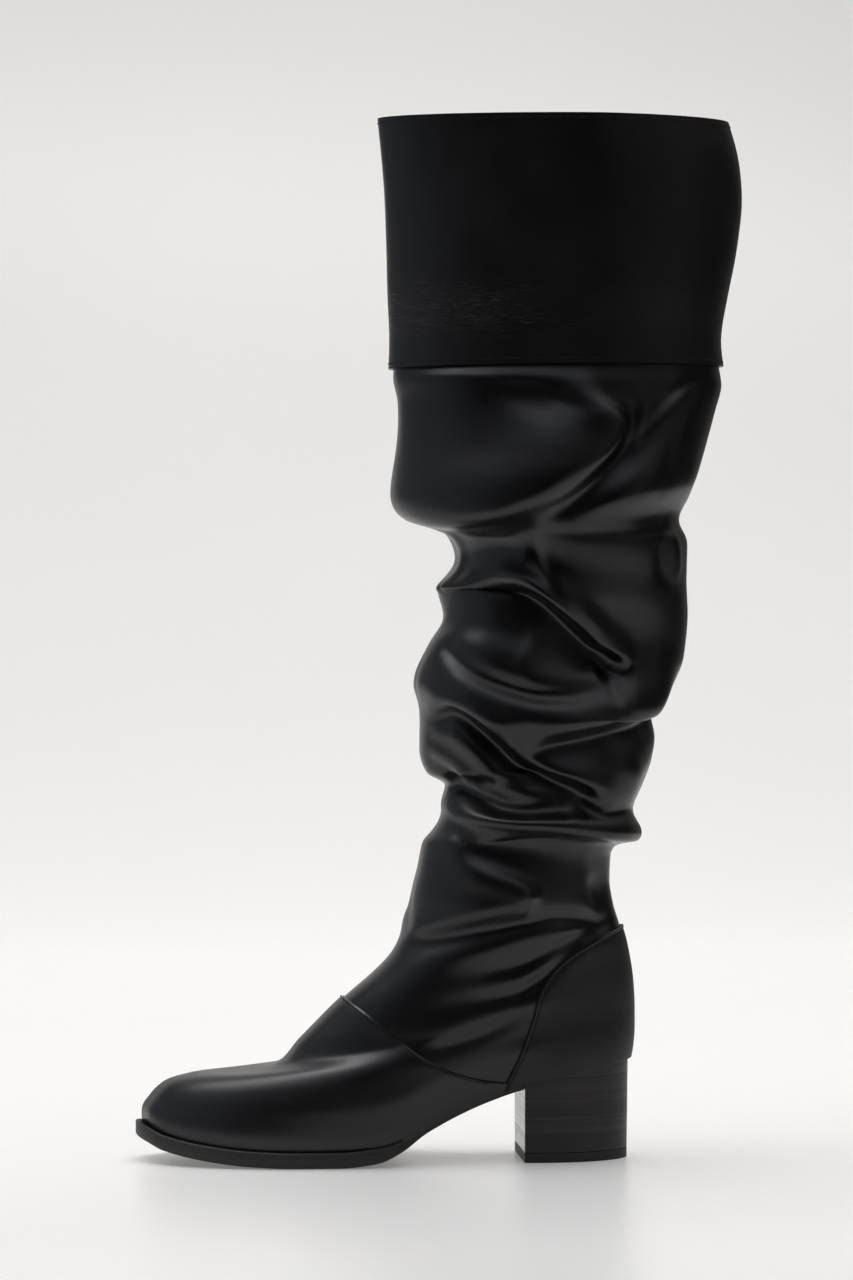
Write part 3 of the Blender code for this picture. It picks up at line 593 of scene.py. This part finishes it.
def relaxed(rings):
    """The same rings with each point drawn towards its neighbours, so that folds have no hard edges."""
    for _ in range(RELAX_PASSES):
        beside = (np.roll(rings, 1, axis=1) + np.roll(rings, -1, axis=1)) / 2
        rings = (rings + beside) / 2
        rings[1:-1] = rings[1:-1] / 2 + (rings[:-2] + rings[2:]) / 4
    return rings


def deepest_near(depth):
    """The lowest value within INNER_EVERY rows and a few columns of each place."""
    for _ in range(INNER_EVERY):
        depth[1:-1] = np.minimum(np.minimum(depth[:-2], depth[2:]), depth[1:-1])
    for _ in range(INNER_REACH):
        depth = np.minimum(np.minimum(np.roll(depth, 1, axis=1), np.roll(depth, -1, axis=1)), depth)
    return depth


def ring_wall(form, levels, thickness):
    """Points and faces of a wall inside a form, with a coarser inner face that stays behind the folds."""
    level, angle = np.meshgrid(levels, full_turn(), indexing="ij")
    rings = relaxed(form.points(level, angle))
    bare = form.bare(level, angle)
    out = form.normals(level, angle)
    depth = deepest_near(((rings - bare) * out).sum(-1))
    out[0, :, 2] = out[-1, :, 2] = 0
    keep = np.unique(np.append(np.arange(0, len(levels), INNER_EVERY), len(levels) - 1))
    inner = (bare + out * (np.minimum(depth, INNER_SAFETY * depth) - thickness)[..., None])[keep]
    points = np.concatenate([rings.reshape(-1, 3), inner.reshape(-1, 3)])
    return points, walled_faces(len(levels), AROUND, len(keep))


# Materials


def fill_ramp(ramp, stops):
    elements = ramp.color_ramp.elements
    while len(elements) < len(stops):
        elements.new(0.5)
    for element, (position, colour) in zip(elements, stops):
        element.position = position
        element.color = (*colour, 1.0)


class Look:
    """A procedural material, built node by node on a Principled shader."""

    def __init__(self, name):
        self.material = bpy.data.materials.new(name)
        self.material.use_nodes = True
        self.tree = self.material.node_tree
        self.shader = self.tree.nodes["Principled BSDF"]
        self.place = self.node("ShaderNodeTexCoord").outputs["Object"]

    def node(self, kind, **values):
        made = self.tree.nodes.new(kind)
        for key, value in values.items():
            setattr(made, key, value)
        return made

    def link(self, source, target):
        self.tree.links.new(source, target)

    def set(self, **values):
        for key, value in values.items():
            self.shader.inputs[key.replace("_", " ")].default_value = value

    def paint(self, socket, source):
        self.link(source, self.shader.inputs[socket])

    def axis(self, name):
        parts = self.node("ShaderNodeSeparateXYZ")
        self.link(self.place, parts.inputs["Vector"])
        return parts.outputs[name]

    def stretched(self, scale):
        mapping = self.node("ShaderNodeMapping")
        mapping.inputs["Scale"].default_value = scale
        self.link(self.place, mapping.inputs["Vector"])
        return mapping.outputs["Vector"]

    def noise(self, scale, detail=3.0, roughness=0.55, vector=None):
        made = self.node("ShaderNodeTexNoise")
        made.inputs["Scale"].default_value = scale
        made.inputs["Detail"].default_value = detail
        made.inputs["Roughness"].default_value = roughness
        self.link(vector or self.place, made.inputs["Vector"])
        return made.outputs["Fac"]

    def ramp(self, value, start, end, low, high):
        made = self.node("ShaderNodeMapRange")
        for socket, number in zip(("From Min", "From Max", "To Min", "To Max"), (start, end, low, high)):
            made.inputs[socket].default_value = number
        self.link(value, made.inputs["Value"])
        return made.outputs["Result"]

    def maths(self, operation, first, second):
        made = self.node("ShaderNodeMath", operation=operation)
        for socket, value in zip(made.inputs, (first, second)):
            if isinstance(value, (int, float)):
                socket.default_value = value
            else:
                self.link(value, socket)
        return made.outputs["Value"]

    def colours(self, value, *stops):
        made = self.node("ShaderNodeValToRGB")
        fill_ramp(made, stops)
        self.link(value, made.inputs["Fac"])
        return made.outputs["Color"]

    def tint(self, value, *stops):
        self.paint("Base Color", self.colours(value, *stops))

    def bump(self, height, distance, before=None, strength=1.0):
        made = self.node("ShaderNodeBump")
        made.inputs["Strength"].default_value = strength
        made.inputs["Distance"].default_value = distance
        self.link(height, made.inputs["Height"])
        if before:
            self.link(before, made.inputs["Normal"])
        return made.outputs["Normal"]

    def wear(self, normal):
        self.paint("Normal", normal)


BLACK = (0.0013, 0.0013, 0.0016)
BLACK_WORN = (0.0024, 0.0024, 0.0029)
WRINKLES_RISE_Z = (0.430, 0.442)
WRINKLES_FALL_Z = (0.452, 0.474)
WRINKLES_FADE_X = (0.035, 0.085)
HEEL_BROWNS = [
    (0.36, (0.004, 0.0032, 0.0028)),
    (0.5, (0.0075, 0.006, 0.0052)),
    (0.64, (0.015, 0.012, 0.0105)),
]


def leather(name, roughness, shine, grain=0.00002, swell=0.0002):
    """Soft black coated leather: fine grain, faint swells and a slightly uneven sheen."""
    look = Look(name)
    look.set(Specular_IOR_Level=shine)
    patches = look.noise(28.0, 4.0)
    look.tint(patches, (0.3, BLACK), (0.75, BLACK_WORN))
    look.paint("Roughness", look.ramp(patches, 0.3, 0.75, roughness - 0.03, roughness + 0.05))
    swells = look.bump(look.noise(60.0, 2.0), swell)
    look.wear(look.bump(look.noise(2600.0, 2.0), grain, swells))
    return look.material


def cuff_leather():
    """The cuff's leather, with a band of fine level wrinkles towards the front."""
    look = Look("cuff_leather")
    look.set(Specular_IOR_Level=0.45, Coat_Weight=0.05, Coat_Roughness=0.3)
    patches = look.noise(24.0, 4.0)
    look.tint(patches, (0.3, BLACK), (0.75, BLACK_WORN))
    look.paint("Roughness", look.ramp(patches, 0.3, 0.75, 0.36, 0.46))
    swells = look.bump(look.noise(26.0, 2.0), 0.0012)
    wrinkles = look.noise(1.0, 3.0, 0.6, look.stretched((90.0, 90.0, 420.0)))
    rise = look.ramp(look.axis("Z"), *WRINKLES_RISE_Z, 0.0, 1.0)
    fall = look.ramp(look.axis("Z"), *WRINKLES_FALL_Z, 1.0, 0.0)
    front = look.ramp(look.axis("X"), *WRINKLES_FADE_X, 1.0, 0.15)
    band = look.maths("MULTIPLY", look.maths("MULTIPLY", rise, fall), front)
    wrinkled = look.bump(look.maths("MULTIPLY", wrinkles, band), 0.0009, swells)
    look.wear(look.bump(look.noise(2600.0, 2.0), 0.00004, wrinkled))
    return look.material


def sole_rubber(name, roughness):
    look = Look(name)
    look.set(Specular_IOR_Level=0.4)
    specks = look.noise(420.0, 3.0)
    look.tint(specks, (0.3, (0.011, 0.011, 0.012)), (0.7, (0.022, 0.021, 0.021)))
    look.paint("Roughness", look.ramp(specks, 0.3, 0.7, roughness - 0.05, roughness + 0.08))
    look.wear(look.bump(specks, 0.00005))
    return look.material


def stacked_heel():
    """Level lines of stacked layers in a very dark brown, each a little lighter or darker."""
    look = Look("stacked_heel")
    look.set(Specular_IOR_Level=0.5)
    layers = look.noise(1.0, 2.0, 0.5, look.stretched((6.0, 6.0, 520.0)))
    fibres = look.noise(1.0, 3.0, 0.6, look.stretched((40.0, 40.0, 1500.0)))
    mixed = look.maths("ADD", look.maths("MULTIPLY", layers, 0.7), look.maths("MULTIPLY", fibres, 0.3))
    look.tint(mixed, *HEEL_BROWNS)
    behind = look.ramp(look.axis("X"), (BREAST_X + 0.1) * MM, (BREAST_X + 0.5) * MM, -0.26, 0.0)
    worn = look.ramp(mixed, 0.35, 0.65, 0.50, 0.38)
    look.paint("Roughness", look.maths("ADD", worn, behind))
    look.wear(look.bump(mixed, 0.00012))
    return look.material


def thread():
    look = Look("black_thread")
    look.set(Roughness=0.6, Specular_IOR_Level=0.3)
    twist = look.noise(1400.0, 2.0)
    look.tint(twist, (0.3, (0.002, 0.002, 0.002)), (0.7, (0.008, 0.008, 0.009)))
    return look.material


def lining_board():
    look = Look("insole_board")
    look.set(Roughness=0.85)
    weave = look.noise(900.0, 2.0)
    look.tint(weave, (0.3, (0.030, 0.028, 0.027)), (0.7, (0.060, 0.056, 0.053)))
    look.wear(look.bump(weave, 0.0001))
    return look.material


# Pieces of the boot


def make_upper():
    foot = ring_levels(FOOT, FOOT_STEP)
    shaft = ring_levels(SHAFT, SHAFT_STEP)
    top = ring_levels(UPPER[-3:], CUFF_STEP)
    levels = np.concatenate([foot[:-1], np.arange(foot[-1], shaft[0], SHAFT_STEP), shaft[:-1], top])
    points, faces = ring_wall(UPPER_FORM, levels, UPPER_WALL)
    add_piece("upper_skin", points, faces, leather("upper_leather", 0.31, 0.5), "upper", 110)


def make_cuff():
    points, faces = ring_wall(CUFF_FORM, ring_levels(CUFF, CUFF_STEP), CUFF_WALL)
    add_piece("cuff_band", points, faces, cuff_leather(), "cuff")


def bead(sides=6):
    """Points and faces of a round-ended bead along its first axis, one unit long and thick each way."""
    turn = np.arange(sides) * 2 * math.pi / sides
    points = [(along, wide * math.cos(t), wide * math.sin(t))
              for along, wide in ((-1, 0.45), (-0.6, 1), (0.6, 1), (1, 0.45)) for t in turn]
    faces = sheet_faces(4, sides, True)
    faces += [list(range(sides))[::-1], list(range(3 * sides, 4 * sides))]
    return np.array(points), faces


def make_stitches(name, line, out, stitch, material):
    """A row of stitches along a line of points, standing out of a surface."""
    lengths = distances(line)
    at = np.arange(stitch.spacing / 2, lengths[-1], stitch.spacing)

    def between(values):
        return np.stack([np.interp(at, lengths, values[:, axis]) for axis in range(3)], axis=1)

    run, up = unit(between(np.gradient(line, axis=0))), unit(between(out))
    frame_axes = np.stack([run, np.cross(up, run), up], axis=1) * np.array(
        [stitch.length / 2, stitch.radius, stitch.radius])[:, None]
    shape, shape_faces = bead()
    points = between(line)[:, None] + np.einsum("pa,sac->spc", shape, frame_axes)
    faces = [[corner + row * len(shape) for corner in face] for row in range(len(at)) for face in shape_faces]
    add_piece(name, points.reshape(-1, 3), faces, material)


def seam_rows(path, name, drop, lift, material):
    """Stitches on both sides of the boot, a little below a seam of the side view."""
    seen = smooth_path(path, SEAM_SAMPLES)
    run = unit(np.gradient(seen, axis=0))
    inside = seen + drop * np.stack([run[:, 1], -run[:, 0]], axis=1)
    level, angle = UPPER_FORM.locate(inside[:, 0], inside[:, 1])
    for side, turned in (("outer", angle), ("inner", 2 * math.pi - angle)):
        line = UPPER_FORM.points(level, turned, lift)
        make_stitches(f"{name}_{side}", line, UPPER_FORM.normals(level, turned), SEAM_STITCH, material)


def make_seams():
    """The rows of stitches on the vamp, the counter, the cuff and the welt."""
    black = thread()
    seam_rows(VAMP_EDGE[:-1], "vamp_stitches", SEAM_HEM, PANEL_LIFT, black)
    seam_rows(COUNTER_EDGE, "counter_stitches", BEAD_WIDTH + 0.3, PANEL_LIFT - BEAD_GROOVE, black)
    turn = np.linspace(0, 2 * math.pi, RING_SAMPLES)
    low, high = CUFF_FORM.levels[0] + CUFF_HEM, CUFF_FORM.levels[-1] - CUFF_HEM
    for name, level in (("low", low), ("high", high)):
        line = CUFF_FORM.bare(level, turn)
        make_stitches(f"cuff_stitches_{name}", line, CUFF_FORM.normals(level, turn), CUFF_STITCH, black)
    _, high, _, rounded = welt_lines(WELT_SAMPLES)
    line = lifted(high * 0.7 + rounded * 0.3, sole_height(high[:, 0]) + WELT_HEIGHT)
    make_stitches("welt_stitches", line, np.broadcast_to((0.0, 0.0, 1.0), line.shape), WELT_STITCH, black)


def make_vamp():
    seam = smooth_path(VAMP_EDGE, VAMP_COLUMNS)
    level, angle = UPPER_FORM.locate(seam[:, 0], seam[:, 1])
    angle[0] = math.pi
    turn = np.concatenate([angle[::-1], 2 * math.pi - angle[1:]])
    top = np.concatenate([level[::-1], level[1:]])
    drops = np.array(VAMP_RIM_DROPS)[:, None]
    share = np.linspace(0, 1, VAMP_ROWS)[:, None]
    levels = np.concatenate([FEATHER + share * (top - FEATHER - drops[0]), top - drops[1:]])
    angles = np.broadcast_to(turn, levels.shape)
    lift = np.full(levels.shape, PANEL_LIFT)
    lift[-len(VAMP_RIM_LIFTS):] = PANEL_LIFT * np.array(VAMP_RIM_LIFTS)[:, None]
    grid = UPPER_FORM.points(levels, angles, lift)
    grid[0, :, 2] = sole_height(grid[0, :, 0])
    faces = sheet_faces(*grid.shape[:2], False)
    skin = leather("vamp_leather", 0.36, 0.55)
    add_piece("vamp_panel", grid.reshape(-1, 3), faces, skin, "vamp")


def make_counter():
    edge = smooth_path(COUNTER_EDGE, COUNTER_ROWS)
    level, angle = UPPER_FORM.locate(edge[:, 0], edge[:, 1])
    middle = np.linspace(0, COUNTER_RIM_SHARE, COUNTER_COLUMNS, endpoint=False)
    half = np.concatenate([middle, np.linspace(COUNTER_RIM_SHARE, 1.0, COUNTER_RIM_COLUMNS)])
    share = np.concatenate([-half[:0:-1], half])
    angles = angle[:, None] * share[None, :]
    levels = np.broadcast_to(level[:, None], angles.shape)
    flat = UPPER_FORM.bare(levels, angles)
    border = smooth_path(COUNTER_EDGE, BORDER_SAMPLES)
    near = np.full(flat.shape[:2], np.inf)
    for side in (-1, 1):
        for point in UPPER_FORM.place(border[:, 0], border[:, 1], side):
            near = np.minimum(near, np.linalg.norm(flat - point, axis=-1))
    lift = PANEL_LIFT * (0.1 + 0.9 * ease(near, 0.0, 0.8))
    lift += BEAD_RISE * ease(near, 0.2, 1.0) * (1 - ease(near, BEAD_WIDTH - 0.9, BEAD_WIDTH))
    lift -= BEAD_GROOVE * np.exp(-(((near - BEAD_WIDTH - 0.3) / 0.45) ** 2))
    grid = UPPER_FORM.points(levels, angles, lift)
    plain = flat + UPPER_FORM.normals(levels, angles) * lift[..., None]
    for _ in range(COUNTER_PASSES):
        plain[1:-1] = plain[1:-1] / 2 + (plain[:-2] + plain[2:]) / 4
    grid += (plain - grid) * ease(near, 3.0, 14.0)[..., None]
    grid[0, :, 2] = sole_height(grid[0, :, 0])
    faces = sheet_faces(*grid.shape[:2], False)
    skin = leather("counter_leather", 0.50, 0.45)
    add_piece("counter_panel", grid.reshape(-1, 3), faces, skin, "counter")


def feather_angle(x):
    """The angle on the outer side at which the feather ring passes x."""
    feather = FOOT[0]
    along = (feather.back_x - x) / (feather.back_x - feather.front_x)
    return math.acos(1 - 2 * along)


def plan_outline(angle, offset):
    """The feather ring seen from above, moved outwards by offset."""
    small = 1e-3
    ring = UPPER_FORM.bare(FEATHER, angle)[..., :2]
    run = UPPER_FORM.bare(FEATHER, angle + small)[..., :2] - UPPER_FORM.bare(FEATHER, angle - small)[..., :2]
    out = unit(np.stack([-run[..., 1], run[..., 0]], axis=-1))
    return ring + out * np.asarray(offset)[..., None]


def lifted(plan, z):
    return np.concatenate([plan, np.asarray(z)[..., None]], axis=-1)


def tube(name, rungs, material, node, sharp=40):
    """A closed body through rungs of points. A rung whose points meet in pairs closes its end by itself."""
    count, corners = rungs.shape[:2]
    faces = sheet_faces(count, corners, True)
    for rung in (0, count - 1):
        if np.linalg.norm(rungs[rung, 0] - rungs[rung, -1]) > 1e-3:
            faces.append([rung * corners + c for c in range(corners)])
    return add_piece(name, rungs.reshape(-1, 3), faces, material, node, sharp)


def welt_lines(columns):
    """Angles along the welt and its inner low, inner high and outer edges."""
    end = feather_angle(WELT_END_X)
    angle = np.linspace(end, 2 * math.pi - end, columns)
    clear = PANEL_LIFT + GAP
    low = UPPER_FORM.points(FEATHER, angle, clear)
    high = UPPER_FORM.points(FEATHER + WELT_HEIGHT, angle, clear)
    ledge = WELT_LEDGE - (WELT_LEDGE - WELT_END_LEDGE) * ease(low[:, 0], WELT_END_X - 30, WELT_END_X)
    outer = plan_outline(angle, clear + ledge)
    return low[:, :2], high[:, :2], outer, plan_outline(angle, clear + ledge - WELT_ROUND)


def make_welt(rubber):
    low, high, outer, rounded = welt_lines(WELT_COLUMNS)
    rungs = np.stack([
        lifted(low, sole_height(low[:, 0]) - GAP),
        lifted(outer, sole_height(outer[:, 0]) - GAP),
        lifted(outer, sole_height(outer[:, 0]) + WELT_HEIGHT - WELT_ROUND),
        lifted(rounded, sole_height(rounded[:, 0]) + WELT_HEIGHT),
        lifted(high, sole_height(high[:, 0]) + WELT_HEIGHT),
    ], axis=1)
    tube("welt_strip", rungs, rubber, "welt")


def sole_offset(x):
    """How far the outsole's edge stands out from the feather line."""
    forefoot = PANEL_LIFT + GAP + WELT_LEDGE
    return forefoot - (forefoot + WAIST_TUCK) * ease(x, WELT_END_X - 24, WELT_END_X + 18)


def sole_thickness(x):
    thinner = ease(x, WELT_END_X - 14, WELT_END_X + 16)
    return OUTSOLE_FOREFOOT - (OUTSOLE_FOREFOOT - OUTSOLE_WAIST) * thinner


def make_outsole(rubber):
    angle = np.linspace(feather_angle(BREAST_X), math.pi, SOLE_COLUMNS)
    sides = []
    for turned in (angle, 2 * math.pi - angle):
        x = UPPER_FORM.bare(FEATHER, turned)[:, 0]
        lines = []
        for tuck, drop in ((0.03, 0.0), (0.0, 0.03), (0.0, -1.0), (0.4, -0.4), (1.0, 0.0)):
            plan = plan_outline(turned, sole_offset(x) - tuck * SOLE_EDGE_ROUND)
            plan[:, 0] = np.minimum(plan[:, 0], BREAST_X - GAP)
            plan[-1] = plan_outline(turned, sole_offset(x))[-1] + (tuck * SOLE_EDGE_ROUND, 0)
            top = sole_height(plan[:, 0]) - GAP
            under = top - sole_thickness(plan[:, 0])
            lines.append(lifted(plan, top - drop if len(lines) < 2 else under - drop * SOLE_EDGE_ROUND))
        sides.append(lines)
    outer, inner = sides
    tube("outsole_slab", np.stack(outer + inner[::-1], axis=1), rubber, "outsole")


def heel_sides(shrink):
    """The heel's outline on both sides from its breast to its back, smaller by shrink."""
    angle = np.linspace(feather_angle(BREAST_X), 0, HEEL_COLUMNS)
    sides = []
    for turned in (angle, -angle):
        plan = plan_outline(turned, np.full(len(angle), -HEEL_INSET - shrink))
        plan[:, 0] = np.maximum(plan[:, 0], BREAST_X)
        plan[0, 0] = BREAST_X
        sides.append(plan)
    return sides


def make_heel_block():
    top_outer, top_inner = heel_sides(0.0)
    low_outer, low_inner = heel_sides(HEEL_TAPER)
    floor = np.full(len(low_outer), TOP_PIECE_HEIGHT + GAP)
    rungs = np.stack([
        lifted(top_outer, sole_height(top_outer[:, 0]) - GAP),
        lifted(low_outer, floor),
        lifted(low_inner, floor),
        lifted(top_inner, sole_height(top_inner[:, 0]) - GAP),
    ], axis=1)
    tube("heel_stack", rungs, stacked_heel(), "heel_block", 30)


def make_heel_top_piece():
    outer, inner = heel_sides(HEEL_TAPER)
    floor = np.zeros(len(outer))
    rungs = np.stack([
        lifted(outer, floor + TOP_PIECE_HEIGHT),
        lifted(outer, floor),
        lifted(inner, floor),
        lifted(inner, floor + TOP_PIECE_HEIGHT),
    ], axis=1)
    tube("heel_tap", rungs, sole_rubber("top_piece_rubber", 0.55), "heel_top_piece", 30)


def make_insole():
    angle = np.linspace(0, math.pi, INSOLE_COLUMNS)
    corners = []
    for turned in (angle, -angle):
        plan = plan_outline(turned, np.full(len(angle), -INSOLE_INSET))
        height = sole_height(plan[:, 0])
        corners.append([lifted(plan, height + INSOLE_HEIGHT), lifted(plan, height)])
    outer, inner = corners
    tube("insole_sheet", np.stack(outer + inner[::-1], axis=1), lining_board(), "insole")


# The studio


def make_camera():
    camera = bpy.data.cameras.new("photo_view")
    camera.sensor_fit = "VERTICAL"
    camera.sensor_height = 36
    camera.lens = CAMERA_LENS
    placed = bpy.data.objects.new("photo_view", camera)
    placed.location = CAMERA_PLACE
    placed.rotation_euler = (math.radians(90), 0, -math.radians(CAMERA_YAW))
    bpy.context.scene.collection.objects.link(placed)
    bpy.context.scene.camera = placed


def pale_paper():
    look = Look("pale_paper")
    look.set(Roughness=0.32, Specular_IOR_Level=0.35)
    seen = look.node("ShaderNodeLightPath").outputs["Is Camera Ray"]
    # Painted shade: for all rays but the camera's, the paper's colour fades dark towards the camera, so the
    # boot reflects a darker floor there.
    lit = look.ramp(look.axis("Y"), PAPER_FADES_Y, PAPER_BRIGHT_Y, 0.0, 1.0)
    near = look.maths("MAXIMUM", lit, seen)
    # Painted shade: far behind the boot the paper is painted a little darker.
    far = look.ramp(look.axis("Y"), *PAPER_FAR_Y, 0.0, PAPER_FAR_DIM)
    mottle_and_shade = look.maths("ADD", near, look.maths("MULTIPLY", look.noise(1.5, 2.0), 0.04))
    mottle_and_shade = look.maths("SUBTRACT", mottle_and_shade, far)
    look.tint(mottle_and_shade, *PAPER_TONES)
    # Painted glow: the paper emits light, fading towards the camera like its colour, which keeps the floor
    # light in the boot's shadow.
    look.paint("Emission Strength", look.maths("MULTIPLY", near, PAPER_GLOW))
    look.set(Emission_Color=(1.0, 0.985, 0.965, 1.0))
    look.wear(look.bump(look.noise(900.0, 2.0), 0.00002))
    one_sided = look.node("ShaderNodeMixShader")
    look.link(look.node("ShaderNodeNewGeometry").outputs["Backfacing"], one_sided.inputs["Fac"])
    look.link(look.shader.outputs["BSDF"], one_sided.inputs[1])
    look.link(look.node("ShaderNodeBsdfTransparent").outputs["BSDF"], one_sided.inputs[2])
    look.link(one_sided.outputs["Shader"], look.tree.nodes["Material Output"].inputs["Surface"])
    return look.material


def make_backdrop():
    """A floor that sweeps up into a wall behind the boot."""
    left, right, front, back, radius, height, drop = -2.2, 1.1, -1.9, 2.6, 1.2, 3.4, 0.0002
    profile = [(front, 0.0), (back - radius, 0.0)]
    profile += [(back - radius + radius * math.sin(t), radius - radius * math.cos(t))
                for t in np.linspace(0, math.pi / 2, 24)[1:]]
    profile.append((back, height))
    points = [(x, y, z - drop) for y, z in profile for x in (left, right)]
    faces = [[2 * i, 2 * i + 1, 2 * i + 3, 2 * i + 2] for i in range(len(profile) - 1)]
    mesh = bpy.data.meshes.new("backdrop")
    mesh.from_pydata(points, [], faces)
    mesh.materials.append(pale_paper())
    mesh.shade_smooth()
    sweep = bpy.data.objects.new("backdrop", mesh)
    bpy.context.scene.collection.objects.link(sweep)


def add_softbox(name, place, aim, size, power):
    light = bpy.data.lights.new(name, "AREA")
    light.shape = "RECTANGLE"
    light.size, light.size_y = size
    light.energy = power
    placed = bpy.data.objects.new(name, light)
    placed.location = place
    placed.rotation_euler = (Vector(aim) - Vector(place)).to_track_quat("-Z", "Y").to_euler()
    bpy.context.scene.collection.objects.link(placed)


def make_room():
    """A room dark behind the camera, brighter overhead and at the sides, and pale where it is seen."""
    world = bpy.data.worlds.new("studio_room")
    bpy.context.scene.world = world
    world.use_nodes = True
    nodes, links = world.node_tree.nodes, world.node_tree.links
    axes = nodes.new("ShaderNodeSeparateXYZ")
    links.new(nodes.new("ShaderNodeTexCoord").outputs["Generated"], axes.inputs["Vector"])
    both = nodes.new("ShaderNodeVectorMath")
    for index, (axis, tones) in enumerate((("X", ROOM_SIDES), ("Z", ROOM_HEIGHTS))):
        half = nodes.new("ShaderNodeMapRange")
        half.inputs["From Min"].default_value = -1.0
        links.new(axes.outputs[axis], half.inputs["Value"])
        ramp = nodes.new("ShaderNodeValToRGB")
        fill_ramp(ramp, tones)
        links.new(half.outputs["Result"], ramp.inputs["Fac"])
        links.new(ramp.outputs["Color"], both.inputs[index])
    links.new(both.outputs["Vector"], nodes["Background"].inputs["Color"])
    pale = nodes.new("ShaderNodeBackground")
    pale.inputs["Color"].default_value = (*PAPER, 1)
    either = nodes.new("ShaderNodeMixShader")
    links.new(nodes.new("ShaderNodeLightPath").outputs["Is Camera Ray"], either.inputs["Fac"])
    links.new(nodes["Background"].outputs["Background"], either.inputs[1])
    links.new(pale.outputs["Background"], either.inputs[2])
    links.new(either.outputs["Shader"], nodes["World Output"].inputs["Surface"])


def make_lights():
    for softbox in SOFTBOXES:
        add_softbox(*softbox)
    make_room()


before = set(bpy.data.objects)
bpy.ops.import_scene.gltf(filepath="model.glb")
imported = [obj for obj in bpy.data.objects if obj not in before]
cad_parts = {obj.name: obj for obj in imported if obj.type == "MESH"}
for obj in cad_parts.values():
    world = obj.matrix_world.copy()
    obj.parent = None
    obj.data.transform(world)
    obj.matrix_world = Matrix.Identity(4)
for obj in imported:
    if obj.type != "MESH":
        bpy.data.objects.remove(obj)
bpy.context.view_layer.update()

make_upper()
make_vamp()
make_counter()
make_seams()
make_cuff()
make_welt(sole_rubber("welt_rubber", 0.5))
make_outsole(sole_rubber("outsole_rubber", 0.5))
make_heel_block()
make_heel_top_piece()
make_insole()
make_backdrop()
make_lights()
make_camera()
bpy.context.scene.view_settings.view_transform = "Standard"
